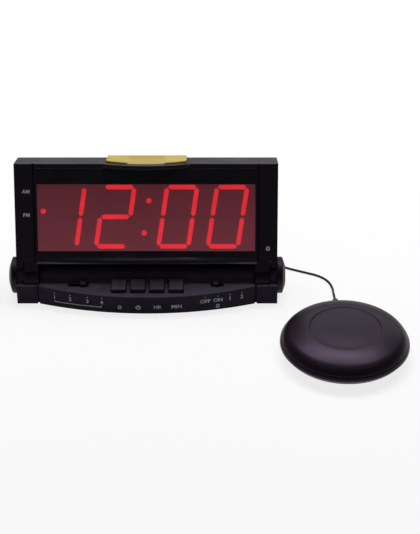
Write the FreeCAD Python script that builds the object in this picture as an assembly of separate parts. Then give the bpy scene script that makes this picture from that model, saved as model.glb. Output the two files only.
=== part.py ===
import FreeCAD, Part

import math
import os

# Bed shaker alarm clock: a low base with a bowed control shelf, a wide display
# head hinged on it between two round side caps, and a round shaker puck on a
# thin cord. Millimetres, +Z up. The clock faces -Y and the puck lies to its
# right. Places are first given from the clock's own middle, at the front of
# its end blocks, and the whole model is then moved to its natural origin: the
# floor under the middle of the clock and the puck together.

V = FreeCAD.Vector
ALONG_X = V(1, 0, 0)
ALONG_Y = V(0, 1, 0)
ALONG_Z = V(0, 0, 1)
HERE = V(0, 0, 0)

# General clearances
cut_over = 1.0
gap = 0.3
shaft_gap = 0.05
face_gap = 0.0

# Clock base, outside
base_width = 184.5
base_rear_y = 94.0
foot_height = 1.0
base_wall = 2.2
block_top_z = 15.8
block_back_y = 31.0
end_block_width = 14.55
bow_depth = 12.5
shelf_slope_deg = 6.0
end_groove_width = 1.4
end_groove_depth = 1.5
edge_round = 0.8
deck_top_z = 13.0
deck_back_y = 43.0
hump_inset = 14.25
hump_top_z = 30.0
hump_front_y = 52.5
hump_round = 3.5

# Hinge between base and head
axis_y = 15.0
axis_z = 15.5
head_lean_deg = 20.0
barrel_radius = 8.0
barrel_wall = 1.8
ear_thickness = 4.8
ear_radius = 11.0
ear_notch_gap = 1.0
knuckle_radius = 12.5
knuckle_gap = 0.5
neck_front = 11.5
neck_back = 4.0
pin_radius = 3.0
pin_reach = 10.0
pin_in_cap = 2.5
washer_thickness = 0.5
washer_radius = 8.0
cap_radius = 13.0
cap_rim = 3.9
cap_dome = 1.8
cap_edge_round = 0.7
cap_flat_radius = 7.0

# Bottom cover, feet and screws
cover_thickness = 2.0
foot_radius = 5.0
foot_recess = 0.6
front_foot_inset = 10.3
front_foot_y = 9.0
rear_foot_inset = 12.0
rear_foot_y = 72.0
boss_radius = 3.5
screw_radius = 1.4
screw_head_radius = 2.6
screw_head_height = 1.1
screw_length = 9.0
front_boss_inset = 16.3
front_boss_y = 37.0
rear_boss_inset = 7.0
rear_boss_y = 87.0

# Buttons on the shelf
button_width = 10.5
button_depth = 11.4
button_front_y = -6.7
button_pitch = 13.45
buttons_middle_x = 0.4
button_height = 3.0
button_travel = 1.0
button_wall = 1.2
button_skirt = 4.3
button_lip = 0.8
button_lip_height = 0.9
button_round = 0.7
button_stem_radius = 1.5
shelf_thickness = 2.0

# Slide switches on the shelf
slot_front_y = -1.0
slot_depth = 6.6
slot_recess = 1.0
slot_neck_depth = 2.6
knob_height = 1.9
knob_depth = 4.2
knob_front_y = 0.4
knob_rib = 0.45
knob_gap = 0.2
lever_length = 7.3
mode_slot_left = -55.9
mode_slot_right = -41.1
mode_knob_x = -45.0
mode_knob_width = 4.2
alarm_slot_left = 44.85
alarm_slot_right = 54.15
alarm_knob_x = 48.55
alarm_knob_width = 3.9

# Circuit board and its switches
board_thickness = 1.6
board_bottom_z = 4.4
board_margin = 6.3
board_front_margin = 35.3
board_front_y = -6.0
board_corner_y = 4.5
board_back_y = 30.0
board_pad_radius = 3.0
board_pad_inset = 5.0
board_pad_front_y = 20.0
board_pad_back_y = 27.0
key_switch_side = 6.0
key_switch_height = 4.0
key_well_radius = 2.2
key_well_depth = 3.2
slide_switch_depth = 6.4
slide_switch_height = 4.6
slide_switch_end = 2.0
relay_length = 18.0
relay_width = 12.0
relay_height = 4.6
relay_x = 30.0
relay_y = 16.5
chip_length = 26.0
chip_width = 9.0
chip_height = 3.0
chip_x = -8.0
chip_y = 17.0

# Mains transformer
core_left_x = 37.0
core_length = 34.0
core_height = 23.4
core_stack = 16.0
core_front_y = 62.0
core_yoke = 4.6
core_leg = 6.0
coil_bulge = 6.0
coil_gap = 0.3

# Loudspeaker and its grille
speaker_x = -53.0
speaker_y = 71.0
speaker_radius = 17.0
speaker_flange = 1.4
speaker_depth = 12.5
speaker_cone_radius = 14.5
speaker_magnet_radius = 9.0
speaker_magnet_height = 5.0
speaker_sheet = 0.9
grille_slot_width = 1.8
grille_slot_pitch = 3.8
grille_slots = 7

# Backup battery, its contacts and door
battery_length = 48.5
battery_width = 26.5
battery_height = 17.0
battery_round = 2.5
battery_left_x = -31.0
battery_front_y = 51.8
battery_stud_radius = 2.9
battery_stud_height = 2.6
battery_stud_pitch = 12.7
contact_thickness = 2.2
contact_height = 12.0
door_margin = 1.6
door_thickness = 0.95
door_recess = 1.1
door_travel = 24.0
door_rib_pitch = 2.4
door_ribs = 5

# Rear wall fittings
outlet_x = -17.0
outlet_width = 25.0
outlet_height = 17.0
outlet_z = 15.5
outlet_flange = 1.8
outlet_flange_thickness = 1.3
outlet_body_depth = 9.0
outlet_blade_pitch = 12.7
outlet_blade_thickness = 1.8
outlet_blade_height = 8.0
outlet_blade_depth = 8.0
jack_x = 10.0
jack_z = 11.0
jack_bush_radius = 3.6
jack_nut_radius = 5.2
jack_nut_thickness = 2.0
jack_body_width = 9.0
jack_body_depth = 9.5
jack_bore_radius = 1.85
gland_x = 27.0
gland_z = 15.0
gland_body_radius = 5.0
gland_flange_radius = 6.6
gland_flange_thickness = 1.6
gland_reach = 9.0
gland_tip_radius = 4.1
gland_bore_radius = 3.1
gland_tail = 5.0

# Volume wheel in the left wall
wheel_radius = 8.0
wheel_thickness = 3.0
wheel_proud = 1.8
wheel_y = 62.0
wheel_bottom_z = 6.6
wheel_shaft_radius = 1.6
wheel_notches = 16
wheel_notch_radius = 0.5
wheel_post_radius = 3.0

# Display head, measured up from the hinge axis and forward of it
head_inset = 0.35
head_top = 82.35
head_bottom = 13.0
head_front = 13.0
head_split = -2.0
head_back = -17.0
head_wall = 2.2
head_top_wall = 3.2
head_back_round = 3.0
lug_bottom = 8.3
lug_width = 4.8
arm_width = 12.9
ledge_front = 10.6
ledge_thickness = 2.0
ledge_reach = 3.6
ledge_cover = 0.4
brow_half_width = 31.0
brow_depth = 9.0
brow_chamfer = 1.2

# Bezel, filter and display
bezel_seam = 1.4
bezel_bottom = 13.4
bezel_gap = 0.15
bezel_side = 1.2
window_bottom = 20.25
window_top = 68.05
filter_gap = 0.2
filter_sink = 0.12
board_post_radius = 2.0
board_post_inset = 1.0
board_post_low = 22.0
board_post_high = 72.0
display_board_reach = 1.5
display_board_bottom = 17.5
display_board_top = 76.0
display_board_front = 3.4
block_margin = 0.4
block_front = 9.8
segment_proud = 0.4
digit_pitch = 34.8
colon_gap = 43.8
digit_height = 42.4
digit_stroke = 3.1
digit_bar = 21.0
digit_middle = 44.45
digit_slant = 0.152
segment_space = 0.6
segment_tip_share = 0.85
dot_radius = 1.85
colon_half_height = 11.5
dot_x = -72.2
pm_dot_height = 48.4
am_dot_height = 64.5
alarm_dot_x = 71.8
alarm_dot_height = 24.6

# Snooze bar
bar_half_width = 28.2
bar_back = -13.5
bar_end_front = 5.1
bar_mid_front = 13.6
bar_front_proud = 0.9
bar_back_proud = 1.8
bar_flange = 1.3
bar_travel = 1.2
bar_gap = 0.35
bar_edge = 0.6
bar_body_half_width = 25.0
bar_body_front = 8.3
bar_body_back = -11.5
bar_body_depth = 4.6
bar_wall = 1.5
bar_stem_radius = 1.4
bar_stem_at = -1.6
bar_stem_bottom = 74.6
snooze_switch_half_width = 3.5
snooze_switch_bottom = 69.0
snooze_switch_top = 76.4
snooze_switch_back = -4.8
snooze_well_radius = 2.0
snooze_well_depth = 3.2

# Rear cover's vents and screws
vent_slots = 11
vent_pitch = 6.0
vent_width = 2.2
vent_height = 13.0
vent_low = 26.0
vent_high = 52.0
head_boss_radius = 3.2
head_boss_inset = 6.3
head_boss_low = 24.0
head_boss_high = 72.0
head_screw_sink = 2.0
head_screw_length = 13.0

# Lead through the left knuckle
lead_radius = 1.3
lead_meet_reach = 1.0
lead_meet_gap = 0.2
lead_rise_reach = 3.3
lead_channel_radius = 1.9
lead_bend = 1.5
lead_top = 19.5
lead_wall_hole_radius = 1.8
lead_base_inset = 10.0
lead_base_bend = 4.0

# Shaker puck
puck_x = 135.8
puck_y = -58.0
puck_turn_deg = 4.0
puck_radius = 44.0
puck_rim_z = 9.0
puck_split_z = 12.4
puck_split_inset = 1.1
puck_bottom_z = 1.2
puck_bottom_inset = 11.0
puck_tuck_inset = 8.4
puck_tuck_z = 2.6
puck_belly_inset = 2.6
puck_belly_z = 5.6
puck_bulge_inset = 0.15
puck_shoulder_inset = 8.0
puck_shoulder_z = 18.8
puck_side_mid_inset = 3.6
puck_side_mid_z = 16.0
puck_slope_mid_inset = 13.0
puck_slope_mid_z = 20.75
puck_groove_inset = 19.7
puck_groove_width = 1.4
puck_groove_depth = 0.8
puck_top_z = 22.5
puck_groove_z = 21.95
puck_crown_inset = 9.3
puck_crown_z = 22.36
puck_crown_flat_inset = 9.0
puck_wall = 17.0
puck_room_bottom_z = 3.6
puck_room_top_z = 19.3
puck_lap_inset = 5.5
puck_lap_width = 1.5
puck_lap_height = 1.4
foot_ring_width = 7.0
foot_ring_inset = 2.0
foot_ring_recess = 0.6
puck_screw_inset = 10.5
puck_screw_bottom_z = 2.4
puck_screws = 3
puck_screw_length = 11.5

# Shaker motor
motor_z = 11.4
motor_radius = 6.8
motor_shaft_margin = 10.0
motor_margin = 8.0
motor_nose_radius = 3.0
motor_nose = 1.5
motor_shaft_radius = 1.0
motor_shaft_length = 14.0
weight_radius = 6.9
weight_length = 7.0
weight_space = 4.0
weight_hub_radius = 2.4
clamp_width = 8.0
clamp_wall = 0.9
clamp_foot = 5.0
clamp_foot_thickness = 1.4

# Strain relief on the puck
relief_radius = 2.15
relief_reach = 4.5
relief_z = 10.0
relief_depth = 6.0
relief_flange_radius = 3.4
relief_flange = 1.6
relief_groove = 0.35

# Cord, its coil and its plug
cord_radius = 0.9
cord_floor = 0.05
cord_sides = 8
coil_inner_radius = 5.0
coil_pitch = 2.3
coil_layers = 4
coil_halves = 10
coil_y = 138.0
tie_width = 6.0
tie_thickness = 0.5
tie_gap = 0.1
tie_angle_deg = 250.0
plug_radius = 4.0
plug_grip = 11.0
plug_relief = 6.0
plug_relief_radius = 2.0
plug_pin_radius = 1.75
plug_pin_length = 12.5
plug_collar_radius = 2.9
plug_collar = 1.0

# The cord's route over the floor, chosen by eye: from the puck round the
# base's right rear corner to the coil
cord_route = [
    (132.42, -9.62, 10.0),
    (131.85, -1.44, 10.0),
    (133.2, 8.2, 5.2),
    (135.0, 18.0, 0.95),
    (131.6, 27.4, 0.95),
    (125.0, 35.2, 0.95),
    (112.0, 40.4, 0.95),
    (98.5, 46.4, 0.95),
    (88.5, 54.8, 0.95),
    (85.0, 67.3, 0.95),
    (85.8, 80.8, 0.95),
    (83.6, 94.4, 0.95),
    (76.8, 106.2, 0.95),
    (66.2, 113.4, 0.95),
    (54.2, 117.2, 0.95),
    (45.8, 121.8, 0.95),
    (43.0, 129.0, 0.95),
    (43.0, 136.2, 0.95),
]

# From the plug back down to the coil's left side
tail_route = [
    (10.0, 114.3, 11.0),
    (10.0, 119.4, 11.0),
    (10.3, 125.2, 9.6),
    (10.0, 131.0, 7.85),
    (10.0, 136.2, 7.85),
]

# Worked out from the sizes above
base_half = base_width / 2
ear_inner = base_half - ear_thickness
block_inner = base_half - end_block_width
bow_half_width = block_inner - end_groove_width
barrel_half_width = bow_half_width - gap
hump_half_width = base_half - hump_inset
front_foot_x = bow_half_width - front_foot_inset
rear_foot_x = hump_half_width - rear_foot_inset
front_boss_x = bow_half_width - front_boss_inset
rear_boss_x = hump_half_width - rear_boss_inset
board_half_width = bow_half_width - board_margin
board_front_half_width = bow_half_width - board_front_margin
board_pad_x = board_half_width - board_pad_inset
void_half = bow_half_width - base_wall - gap
hump_void_half = hump_half_width - base_wall
void_back_y = base_rear_y - base_wall
cover_bottom_z = foot_height
cover_top_z = foot_height + cover_thickness
board_top_z = board_bottom_z + board_thickness
shelf_slope = math.radians(shelf_slope_deg)
knuckle_inner = barrel_half_width + knuckle_gap
knuckle_outer = ear_inner - washer_thickness - gap
pin_inner = ear_inner - pin_reach / 2
cap_outer = base_half + cap_rim + cap_dome
head_half = base_half - head_inset
lug_inner = head_half - lug_width
recess_half_width = head_half - arm_width
bezel_half_width = recess_half_width - bezel_seam
window_half_width = bezel_half_width - bezel_side
ledge_half_width = recess_half_width - ledge_reach
display_board_half_width = recess_half_width + display_board_reach
board_post_x = recess_half_width - board_post_inset
head_boss_x = head_half - head_boss_inset
lead_meet_x = -barrel_half_width - lead_meet_reach
lead_rise_x = -barrel_half_width - lead_rise_reach
lead_base_x = -barrel_half_width + lead_base_inset
cavity_half = head_half - head_wall
cavity_top = head_top - head_top_wall
cavity_bottom = head_bottom + head_wall
ledge_back = ledge_front - ledge_thickness
display_board_back = display_board_front - board_thickness
puck_split_radius = puck_radius - puck_split_inset
puck_bottom_radius = puck_radius - puck_bottom_inset
puck_tuck_radius = puck_radius - puck_tuck_inset
puck_belly_radius = puck_radius - puck_belly_inset
puck_bulge_radius = puck_radius - puck_bulge_inset
puck_shoulder_radius = puck_radius - puck_shoulder_inset
puck_side_mid_radius = puck_radius - puck_side_mid_inset
puck_slope_mid_radius = puck_radius - puck_slope_mid_inset
puck_groove_radius = puck_radius - puck_groove_inset
puck_crown_edge = puck_groove_radius - puck_crown_inset
puck_crown_flat = puck_crown_edge - puck_crown_flat_inset
puck_room_radius = puck_radius - puck_wall
puck_lap_radius = puck_radius - puck_lap_inset
puck_screw_circle = puck_radius - puck_screw_inset
foot_ring_outer = puck_bottom_radius - foot_ring_inset
foot_ring_inner = foot_ring_outer - foot_ring_width
motor_left_x = motor_margin - puck_room_radius
motor_length = puck_room_radius - motor_shaft_margin - motor_shaft_length - motor_left_x
clamp_x = motor_left_x + (motor_length - clamp_width) / 2
weight_start_x = motor_left_x + motor_length + weight_space
relief_tip = puck_radius + relief_reach
relief_inner = puck_radius - relief_depth
cord_low_z = cord_radius + cord_floor
coil_outer_radius = coil_inner_radius + coil_halves * coil_pitch / 2
coil_x = jack_x + coil_outer_radius
coil_top_z = cord_low_z + (coil_layers - 1) * coil_pitch
origin_x = (puck_x + puck_radius - cap_outer) / 2
origin_y = (puck_y - puck_radius + base_rear_y + gland_reach) / 2


def shelf_z(y):
    """Height of the sloping shelf at a place along Y."""
    return block_top_z + y * math.tan(shelf_slope)


# Small makers of shapes
def box(x0, x1, y0, y1, z0, z1):
    return Part.makeBox(x1 - x0, y1 - y0, z1 - z0, V(x0, y0, z0))


def rod(radius, start, end):
    return Part.makeCylinder(radius, (end - start).Length, start, end - start)


def upright(radius, x, y, z0, z1):
    return rod(radius, V(x, y, z0), V(x, y, z1))


def across(radius, x0, x1, y, z):
    return rod(radius, V(x0, y, z), V(x1, y, z))


def deep(radius, x, z, y0, y1):
    return rod(radius, V(x, y0, z), V(x, y1, z))


def outline(points):
    return Part.Face(Part.makePolygon(points + [points[0]]))


def side_prism(points, x0, x1):
    """A (y, z) outline carried along X."""
    face = outline([V(x0, y, z) for y, z in points])
    return face.extrude(V(x1 - x0, 0, 0))


def plan_prism(points, z0, z1):
    """An (x, y) outline carried up."""
    face = outline([V(x, y, z0) for x, y in points])
    return face.extrude(V(0, 0, z1 - z0))


def spun(points, at, axis, corner=None):
    """A closed (radius, height) outline turned about an axis through a place."""
    face = outline([V(r, 0, h) for r, h in points])
    solid = Part.makeSolid(face.revolve(HERE, ALONG_Z, 360))
    turn = FreeCAD.Rotation(ALONG_Z, axis)
    solid.Placement = FreeCAD.Placement(at, turn)
    return solid


def spun_wire(edges, at):
    """A closed wire in the XZ plane turned about Z."""
    face = Part.Face(Part.Wire(edges))
    solid = Part.makeSolid(face.revolve(HERE, ALONG_Z, 360))
    solid.translate(at)
    return solid


def line(a, b):
    return Part.LineSegment(V(a[0], 0, a[1]), V(b[0], 0, b[1])).toShape()


def arc(a, b, c):
    return Part.Arc(V(a[0], 0, a[1]), V(b[0], 0, b[1]), V(c[0], 0, c[1])).toShape()


def bowed_plate(half, back, front_end, front_mid, z0, z1):
    """A plate with a straight back and a front that bows towards -Y."""
    left = V(-half, front_end, z0)
    right = V(half, front_end, z0)
    bow = Part.Arc(left, V(0, front_mid, z0), right).toShape()
    sides = Part.makePolygon([right, V(half, back, z0), V(-half, back, z0), left])
    return Part.Face(Part.Wire([bow] + sides.Edges)).extrude(V(0, 0, z1 - z0))


def joined(shapes):
    whole = shapes[0].fuse(shapes[1:]) if len(shapes) > 1 else shapes[0]
    return whole.removeSplitter()


def both_sides(shape):
    return [shape, shape.mirror(HERE, ALONG_X)]


def rounded(shape, radius, wanted):
    """Rounds the edges whose middle passes the test."""
    edges = [e for e in shape.Edges if wanted(e.BoundBox)]
    return shape.makeFillet(radius, edges)


def level(bounds, value, low, high):
    """True where an edge's extent between low and high lies at one value."""
    near = cut_over / 100
    return abs(low(bounds) - value) < near and abs(high(bounds) - value) < near


def route_wire(points, bend=None):
    """Straight runs joined by tangent arcs, and the arcs' radii."""
    places = [V(*p) for p in points]
    edges, radii = [], []
    start = places[0]
    for before, here, after in zip(places, places[1:], places[2:]):
        run_in, run_out = here - before, after - here
        turn = run_in.getAngle(run_out)
        reach = 0.45 * min(run_in.Length, run_out.Length)
        if bend:
            reach = bend * math.tan(turn / 2)
        radii.append(reach / math.tan(turn / 2))
        way_in, way_out = V(run_in).normalize(), V(run_out).normalize()
        first = here - way_in * reach
        last = here + way_out * reach
        centre_way = (way_out - way_in).normalize()
        centre = here + centre_way * (radii[-1] / math.cos(turn / 2))
        middle = centre - centre_way * radii[-1]
        edges.append(Part.LineSegment(start, first).toShape())
        edges.append(Part.Arc(first, middle, last).toShape())
        start = last
    edges.append(Part.LineSegment(start, places[-1]).toShape())
    return Part.Wire(edges), radii


def cord_section(at, way, radius):
    """A cord's section, an eight sided outline that keeps inside its round."""
    turn = FreeCAD.Rotation(ALONG_Z, way)
    corners = []
    for i in range(cord_sides):
        angle = 2 * math.pi * (i + 0.5) / cord_sides
        spoke = V(math.cos(angle), math.sin(angle), 0) * radius
        corners.append(at + turn.multVec(spoke))
    return Part.makePolygon(corners + [corners[0]])


def lead(points, bend):
    """A lead with bends of one radius."""
    path, _ = route_wire(points, bend)
    start = V(*points[0])
    section = cord_section(start, V(*points[1]) - start, lead_radius)
    return path.makePipeShell([section], True, False)


def on_shelf(shape):
    """Tilts a shape made on a level shelf at height 0 to the sloping one."""
    placed = shape.copy()
    placed.rotate(HERE, ALONG_X, shelf_slope_deg)
    placed.translate(V(0, 0, block_top_z))
    return placed


def on_head(shape):
    """Leans a head shape, made upright about the hinge axis, into its place."""
    placed = shape.copy()
    placed.rotate(HERE, ALONG_X, -head_lean_deg)
    placed.translate(V(0, axis_y, axis_z))
    return placed


def on_puck(shape):
    placed = shape.copy()
    placed.rotate(HERE, ALONG_Z, puck_turn_deg)
    placed.translate(V(puck_x, puck_y, 0))
    return placed


# Base housing
def hump_points(inset, top):
    """The rear housing's side outline, drawn in by an inset."""
    rise = (hump_top_z - deck_top_z) / (hump_front_y - deck_back_y)
    shift = inset * math.hypot(1, rise) / rise
    slope_top_y = deck_back_y + (top - deck_top_z) / rise + shift
    slope_low_y = deck_back_y + (deck_top_z - inset - deck_top_z) / rise + shift
    low = foot_height - (cut_over if inset else 0)
    front = axis_y + (inset if inset else 0)
    return [
        (front, low),
        (front, deck_top_z - inset),
        (slope_low_y, deck_top_z - inset),
        (slope_top_y, top),
        (base_rear_y - inset, top),
        (base_rear_y - inset, low),
    ]


def base_outside():
    front = bowed_plate(bow_half_width, axis_y, 0, -bow_depth, foot_height, axis_z + barrel_radius)
    above = side_prism(
        [
            (-bow_depth - cut_over, shelf_z(-bow_depth - cut_over)),
            (axis_y + cut_over, shelf_z(axis_y + cut_over)),
            (axis_y + cut_over, axis_z + barrel_radius + cut_over),
            (-bow_depth - cut_over, axis_z + barrel_radius + cut_over),
        ],
        -base_half,
        base_half,
    )
    front = front.cut(above)
    hump = side_prism(hump_points(0, hump_top_z), -hump_half_width, hump_half_width)
    hump = rounded(
        hump,
        hump_round,
        lambda b: level(b, hump_top_z, lambda q: q.ZMin, lambda q: q.ZMax)
        and b.YMax > hump_front_y + cut_over,
    )
    narrow = box(-base_half, base_half, 0, block_back_y, 0, hump_top_z)
    hump = hump.cut(narrow)
    middle = box(-bow_half_width, bow_half_width, axis_y, block_back_y, foot_height, deck_top_z)
    ridge = across(barrel_radius, -barrel_half_width, barrel_half_width, axis_y, axis_z)
    under = box(
        -barrel_half_width,
        barrel_half_width,
        axis_y - barrel_radius,
        axis_y + barrel_radius,
        foot_height,
        axis_z,
    )
    block = box(bow_half_width - base_wall, base_half, 0, block_back_y, foot_height, block_top_z)
    block = rounded(
        block,
        edge_round,
        lambda b: level(b, 0, lambda q: q.YMin, lambda q: q.YMax)
        and level(b, block_top_z, lambda q: q.ZMin, lambda q: q.ZMax),
    )
    ear = across(ear_radius, ear_inner, base_half, axis_y, axis_z)
    ear_foot = box(ear_inner, base_half, axis_y - ear_radius, axis_y + ear_radius, foot_height, axis_z)
    sides = both_sides(block) + both_sides(ear) + both_sides(ear_foot)
    return joined([front, hump, middle, ridge, under] + sides)


def base_hollow():
    wall = base_wall
    low = foot_height - cut_over
    front = bowed_plate(void_half, axis_y, wall, wall - bow_depth, low, axis_z + barrel_radius)
    above = side_prism(
        [
            (-bow_depth, shelf_z(-bow_depth) - shelf_thickness),
            (axis_y + cut_over, shelf_z(axis_y + cut_over) - shelf_thickness),
            (axis_y + cut_over, axis_z + barrel_radius + cut_over),
            (-bow_depth, axis_z + barrel_radius + cut_over),
        ],
        -base_half,
        base_half,
    )
    front = front.cut(above)
    beyond = box(-base_half, base_half, axis_y - barrel_radius + barrel_wall, axis_y + wall, deck_top_z - wall, hump_top_z)
    front = front.cut(beyond)
    inner = barrel_radius - barrel_wall
    ridge = across(inner, -void_half, void_half, axis_y, axis_z)
    deck = box(-void_half, void_half, axis_y - wall, block_back_y + cut_over, low, deck_top_z - wall)
    hump = side_prism(hump_points(wall, hump_top_z - wall), -hump_void_half, hump_void_half)
    narrow = box(-base_half, base_half, 0, block_back_y, low, hump_top_z)
    return joined([front, ridge, deck, hump.cut(narrow)])


def knuckle_pockets():
    radius = knuckle_radius + knuckle_gap
    pocket = across(radius, barrel_half_width, ear_inner, axis_y, axis_z)
    above = box(barrel_half_width, ear_inner, axis_y - radius, axis_y + radius, axis_z, hump_top_z)
    return both_sides(pocket) + both_sides(above)


def end_grooves():
    groove = box(
        bow_half_width,
        block_inner,
        -cut_over,
        end_groove_depth,
        foot_height - cut_over,
        block_top_z + cut_over,
    )
    return both_sides(groove)


def boss_places():
    front = [(side * front_boss_x, front_boss_y, deck_top_z - base_wall) for side in (-1, 1)]
    rear = [(side * rear_boss_x, rear_boss_y, hump_top_z - base_wall) for side in (-1, 1)]
    return front + rear


def screw_bosses():
    bosses = []
    for x, y, top in boss_places():
        post = upright(boss_radius, x, y, cover_top_z, top + cut_over / 2)
        hole = upright(screw_radius + shaft_gap, x, y, cover_top_z - cut_over, cover_top_z + screw_length)
        if top - cover_top_z < screw_length:
            hole = upright(screw_radius + shaft_gap, x, y, cover_top_z - cut_over, top - cut_over)
        bosses.append(post.cut(hole))
    return bosses


def button_places():
    first = buttons_middle_x - 1.5 * button_pitch
    return [first + i * button_pitch for i in range(4)]


def shelf_openings():
    cuts = []
    for x in button_places():
        hole = box(
            x - button_width / 2 - gap,
            x + button_width / 2 + gap,
            button_front_y - gap,
            button_front_y + button_depth + gap,
            -shelf_thickness - cut_over,
            cut_over,
        )
        cuts.append(on_shelf(hole))
    for left, right in ((mode_slot_left, mode_slot_right), (alarm_slot_left, alarm_slot_right)):
        recess = box(left, right, slot_front_y, slot_front_y + slot_depth, -slot_recess, cut_over)
        middle = slot_front_y + slot_depth / 2
        slot = box(
            left + knob_rib,
            right - knob_rib,
            middle - slot_neck_depth / 2,
            middle + slot_neck_depth / 2,
            -shelf_thickness - cut_over,
            cut_over,
        )
        cuts += [on_shelf(recess), on_shelf(slot)]
    return cuts


def grille_cuts():
    cuts = []
    for i in range(grille_slots):
        off = (i - (grille_slots - 1) / 2) * grille_slot_pitch
        half = math.sqrt(speaker_cone_radius ** 2 - off ** 2) - grille_slot_width
        slot = box(
            speaker_x + off - grille_slot_width / 2,
            speaker_x + off + grille_slot_width / 2,
            speaker_y - half,
            speaker_y + half,
            hump_top_z - base_wall - cut_over,
            hump_top_z + cut_over,
        )
        cuts.append(slot)
    return cuts


def rear_openings():
    y0, y1 = void_back_y - cut_over, base_rear_y + cut_over
    outlet = box(
        outlet_x - outlet_width / 2 - gap,
        outlet_x + outlet_width / 2 + gap,
        y0,
        y1,
        outlet_z - outlet_height / 2 - gap,
        outlet_z + outlet_height / 2 + gap,
    )
    jack = deep(jack_bush_radius + shaft_gap, jack_x, jack_z, y0, y1)
    gland = deep(gland_body_radius + shaft_gap, gland_x, gland_z, y0, y1)
    door = box(
        door_left() - gap,
        door_right() + gap,
        y0,
        y1,
        foot_height - cut_over,
        foot_height + door_recess,
    )
    return [outlet, jack, gland, door]


def wheel_slot():
    x = wheel_middle_x()
    reach = wheel_radius + gap
    return upright(reach, x, wheel_y, wheel_bottom_z - gap, wheel_bottom_z + wheel_thickness + gap)


def base_housing():
    shell = base_outside().cut(joined([base_hollow()] + knuckle_pockets()))
    shell = joined([shell] + screw_bosses())
    pin_holes = [
        across(pin_radius + shaft_gap, side * pin_inner, side * (base_half + cut_over), axis_y, axis_z)
        for side in (-1, 1)
    ]
    lead_hole = across(lead_wall_hole_radius, -barrel_half_width - cut_over, -void_half + cut_over, axis_y, axis_z)
    cuts = end_grooves() + shelf_openings() + grille_cuts() + rear_openings()
    return shell.cut(cuts + pin_holes + [lead_hole, wheel_slot()])


# Bottom cover, feet and screws
def door_left():
    return battery_left_x - door_margin - battery_stud_height - contact_thickness


def door_right():
    return battery_left_x + battery_length + door_margin


def door_front():
    return battery_front_y - door_margin


def foot_places():
    return [
        (-front_foot_x, front_foot_y),
        (front_foot_x, front_foot_y),
        (-rear_foot_x, rear_foot_y),
        (rear_foot_x, rear_foot_y),
    ]


def base_bottom_cover():
    half = void_half - gap
    rear_half = hump_void_half - gap
    front = bowed_plate(half, block_back_y + gap + cut_over, base_wall + gap, base_wall + gap - bow_depth, cover_bottom_z, cover_top_z)
    rear = box(-rear_half, rear_half, block_back_y + gap, void_back_y - gap, cover_bottom_z, cover_top_z)
    plate = joined([front, rear])
    pads = [
        upright(board_pad_radius, side * board_pad_x, y, cover_top_z - cut_over, board_bottom_z)
        for side in (-1, 1)
        for y in (board_pad_front_y, board_pad_back_y)
    ]
    plate = joined([plate, pads[0], pads[1], pads[2], pads[3], wheel_post()])
    battery = box(
        door_left() + door_margin,
        door_right() - door_margin / 2,
        door_front() + door_margin / 2,
        battery_front_y + battery_width + door_margin / 2,
        cover_bottom_z - cut_over,
        cover_top_z + cut_over,
    )
    recess = box(
        door_left() - gap,
        door_right() + gap,
        door_front() - gap,
        base_rear_y,
        cover_bottom_z - cut_over,
        cover_bottom_z + door_recess,
    )
    cuts = [battery, recess]
    for x, y in foot_places():
        cuts.append(upright(foot_radius + shaft_gap, x, y, cover_bottom_z - cut_over, cover_bottom_z + foot_recess))
    for x, y, _ in boss_places():
        cuts.append(upright(screw_radius + gap, x, y, cover_bottom_z - cut_over, cover_top_z + cut_over))
        cuts.append(upright(screw_head_radius + gap, x, y, cover_bottom_z - cut_over, cover_bottom_z + screw_head_height))
    return plate.cut(cuts)


def rubber_feet():
    feet = []
    for x, y in foot_places():
        foot = upright(foot_radius, x, y, 0, cover_bottom_z + foot_recess)
        feet.append(foot.makeChamfer(foot_recess / 2, [foot.Edges[2]]))
    return Part.makeCompound(feet)


def screw(head_at, way, length):
    """A plain screw whose head's outer face is at a place, pointing along a way."""
    neck = head_at + way * screw_head_height
    head = rod(screw_head_radius, head_at, neck)
    shank = rod(screw_radius, neck, neck + way * length)
    return joined([head, shank])


def base_screws():
    screws = []
    for x, y, top in boss_places():
        length = min(screw_length, top - cover_top_z) - cut_over
        screws.append(screw(V(x, y, cover_bottom_z), ALONG_Z, cover_thickness - screw_head_height + length - gap))
    return Part.makeCompound(screws)


# Circuit board, key switches, slide switches and relay
def main_circuit_board():
    points = [
        (-board_half_width, board_back_y),
        (-board_half_width, board_corner_y),
        (-board_front_half_width, board_front_y),
        (board_front_half_width, board_front_y),
        (board_half_width, board_corner_y),
        (board_half_width, board_back_y),
    ]
    plate = plan_prism(points, board_bottom_z, board_top_z)
    chip = box(
        chip_x - chip_length / 2,
        chip_x + chip_length / 2,
        chip_y - chip_width / 2,
        chip_y + chip_width / 2,
        board_top_z,
        board_top_z + chip_height,
    )
    return joined([plate, chip])


def button_middle_y():
    return (button_front_y + button_depth / 2) * math.cos(shelf_slope)


def key_well_y():
    """Where a button's tilted stem meets its switch."""
    drop = block_top_z - board_top_z - key_switch_height
    return button_middle_y() + drop * math.tan(shelf_slope)


def key_switches():
    bodies = []
    y = key_well_y()
    top = board_top_z + key_switch_height
    for x in button_places():
        half = key_switch_side / 2
        body = box(x - half, x + half, y - half, y + half, board_top_z, top)
        bodies.append(body.cut(upright(key_well_radius, x, y, top - key_well_depth, top + cut_over)))
    return Part.makeCompound(bodies)


def slot_middle_y():
    return slot_front_y + slot_depth / 2


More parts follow.
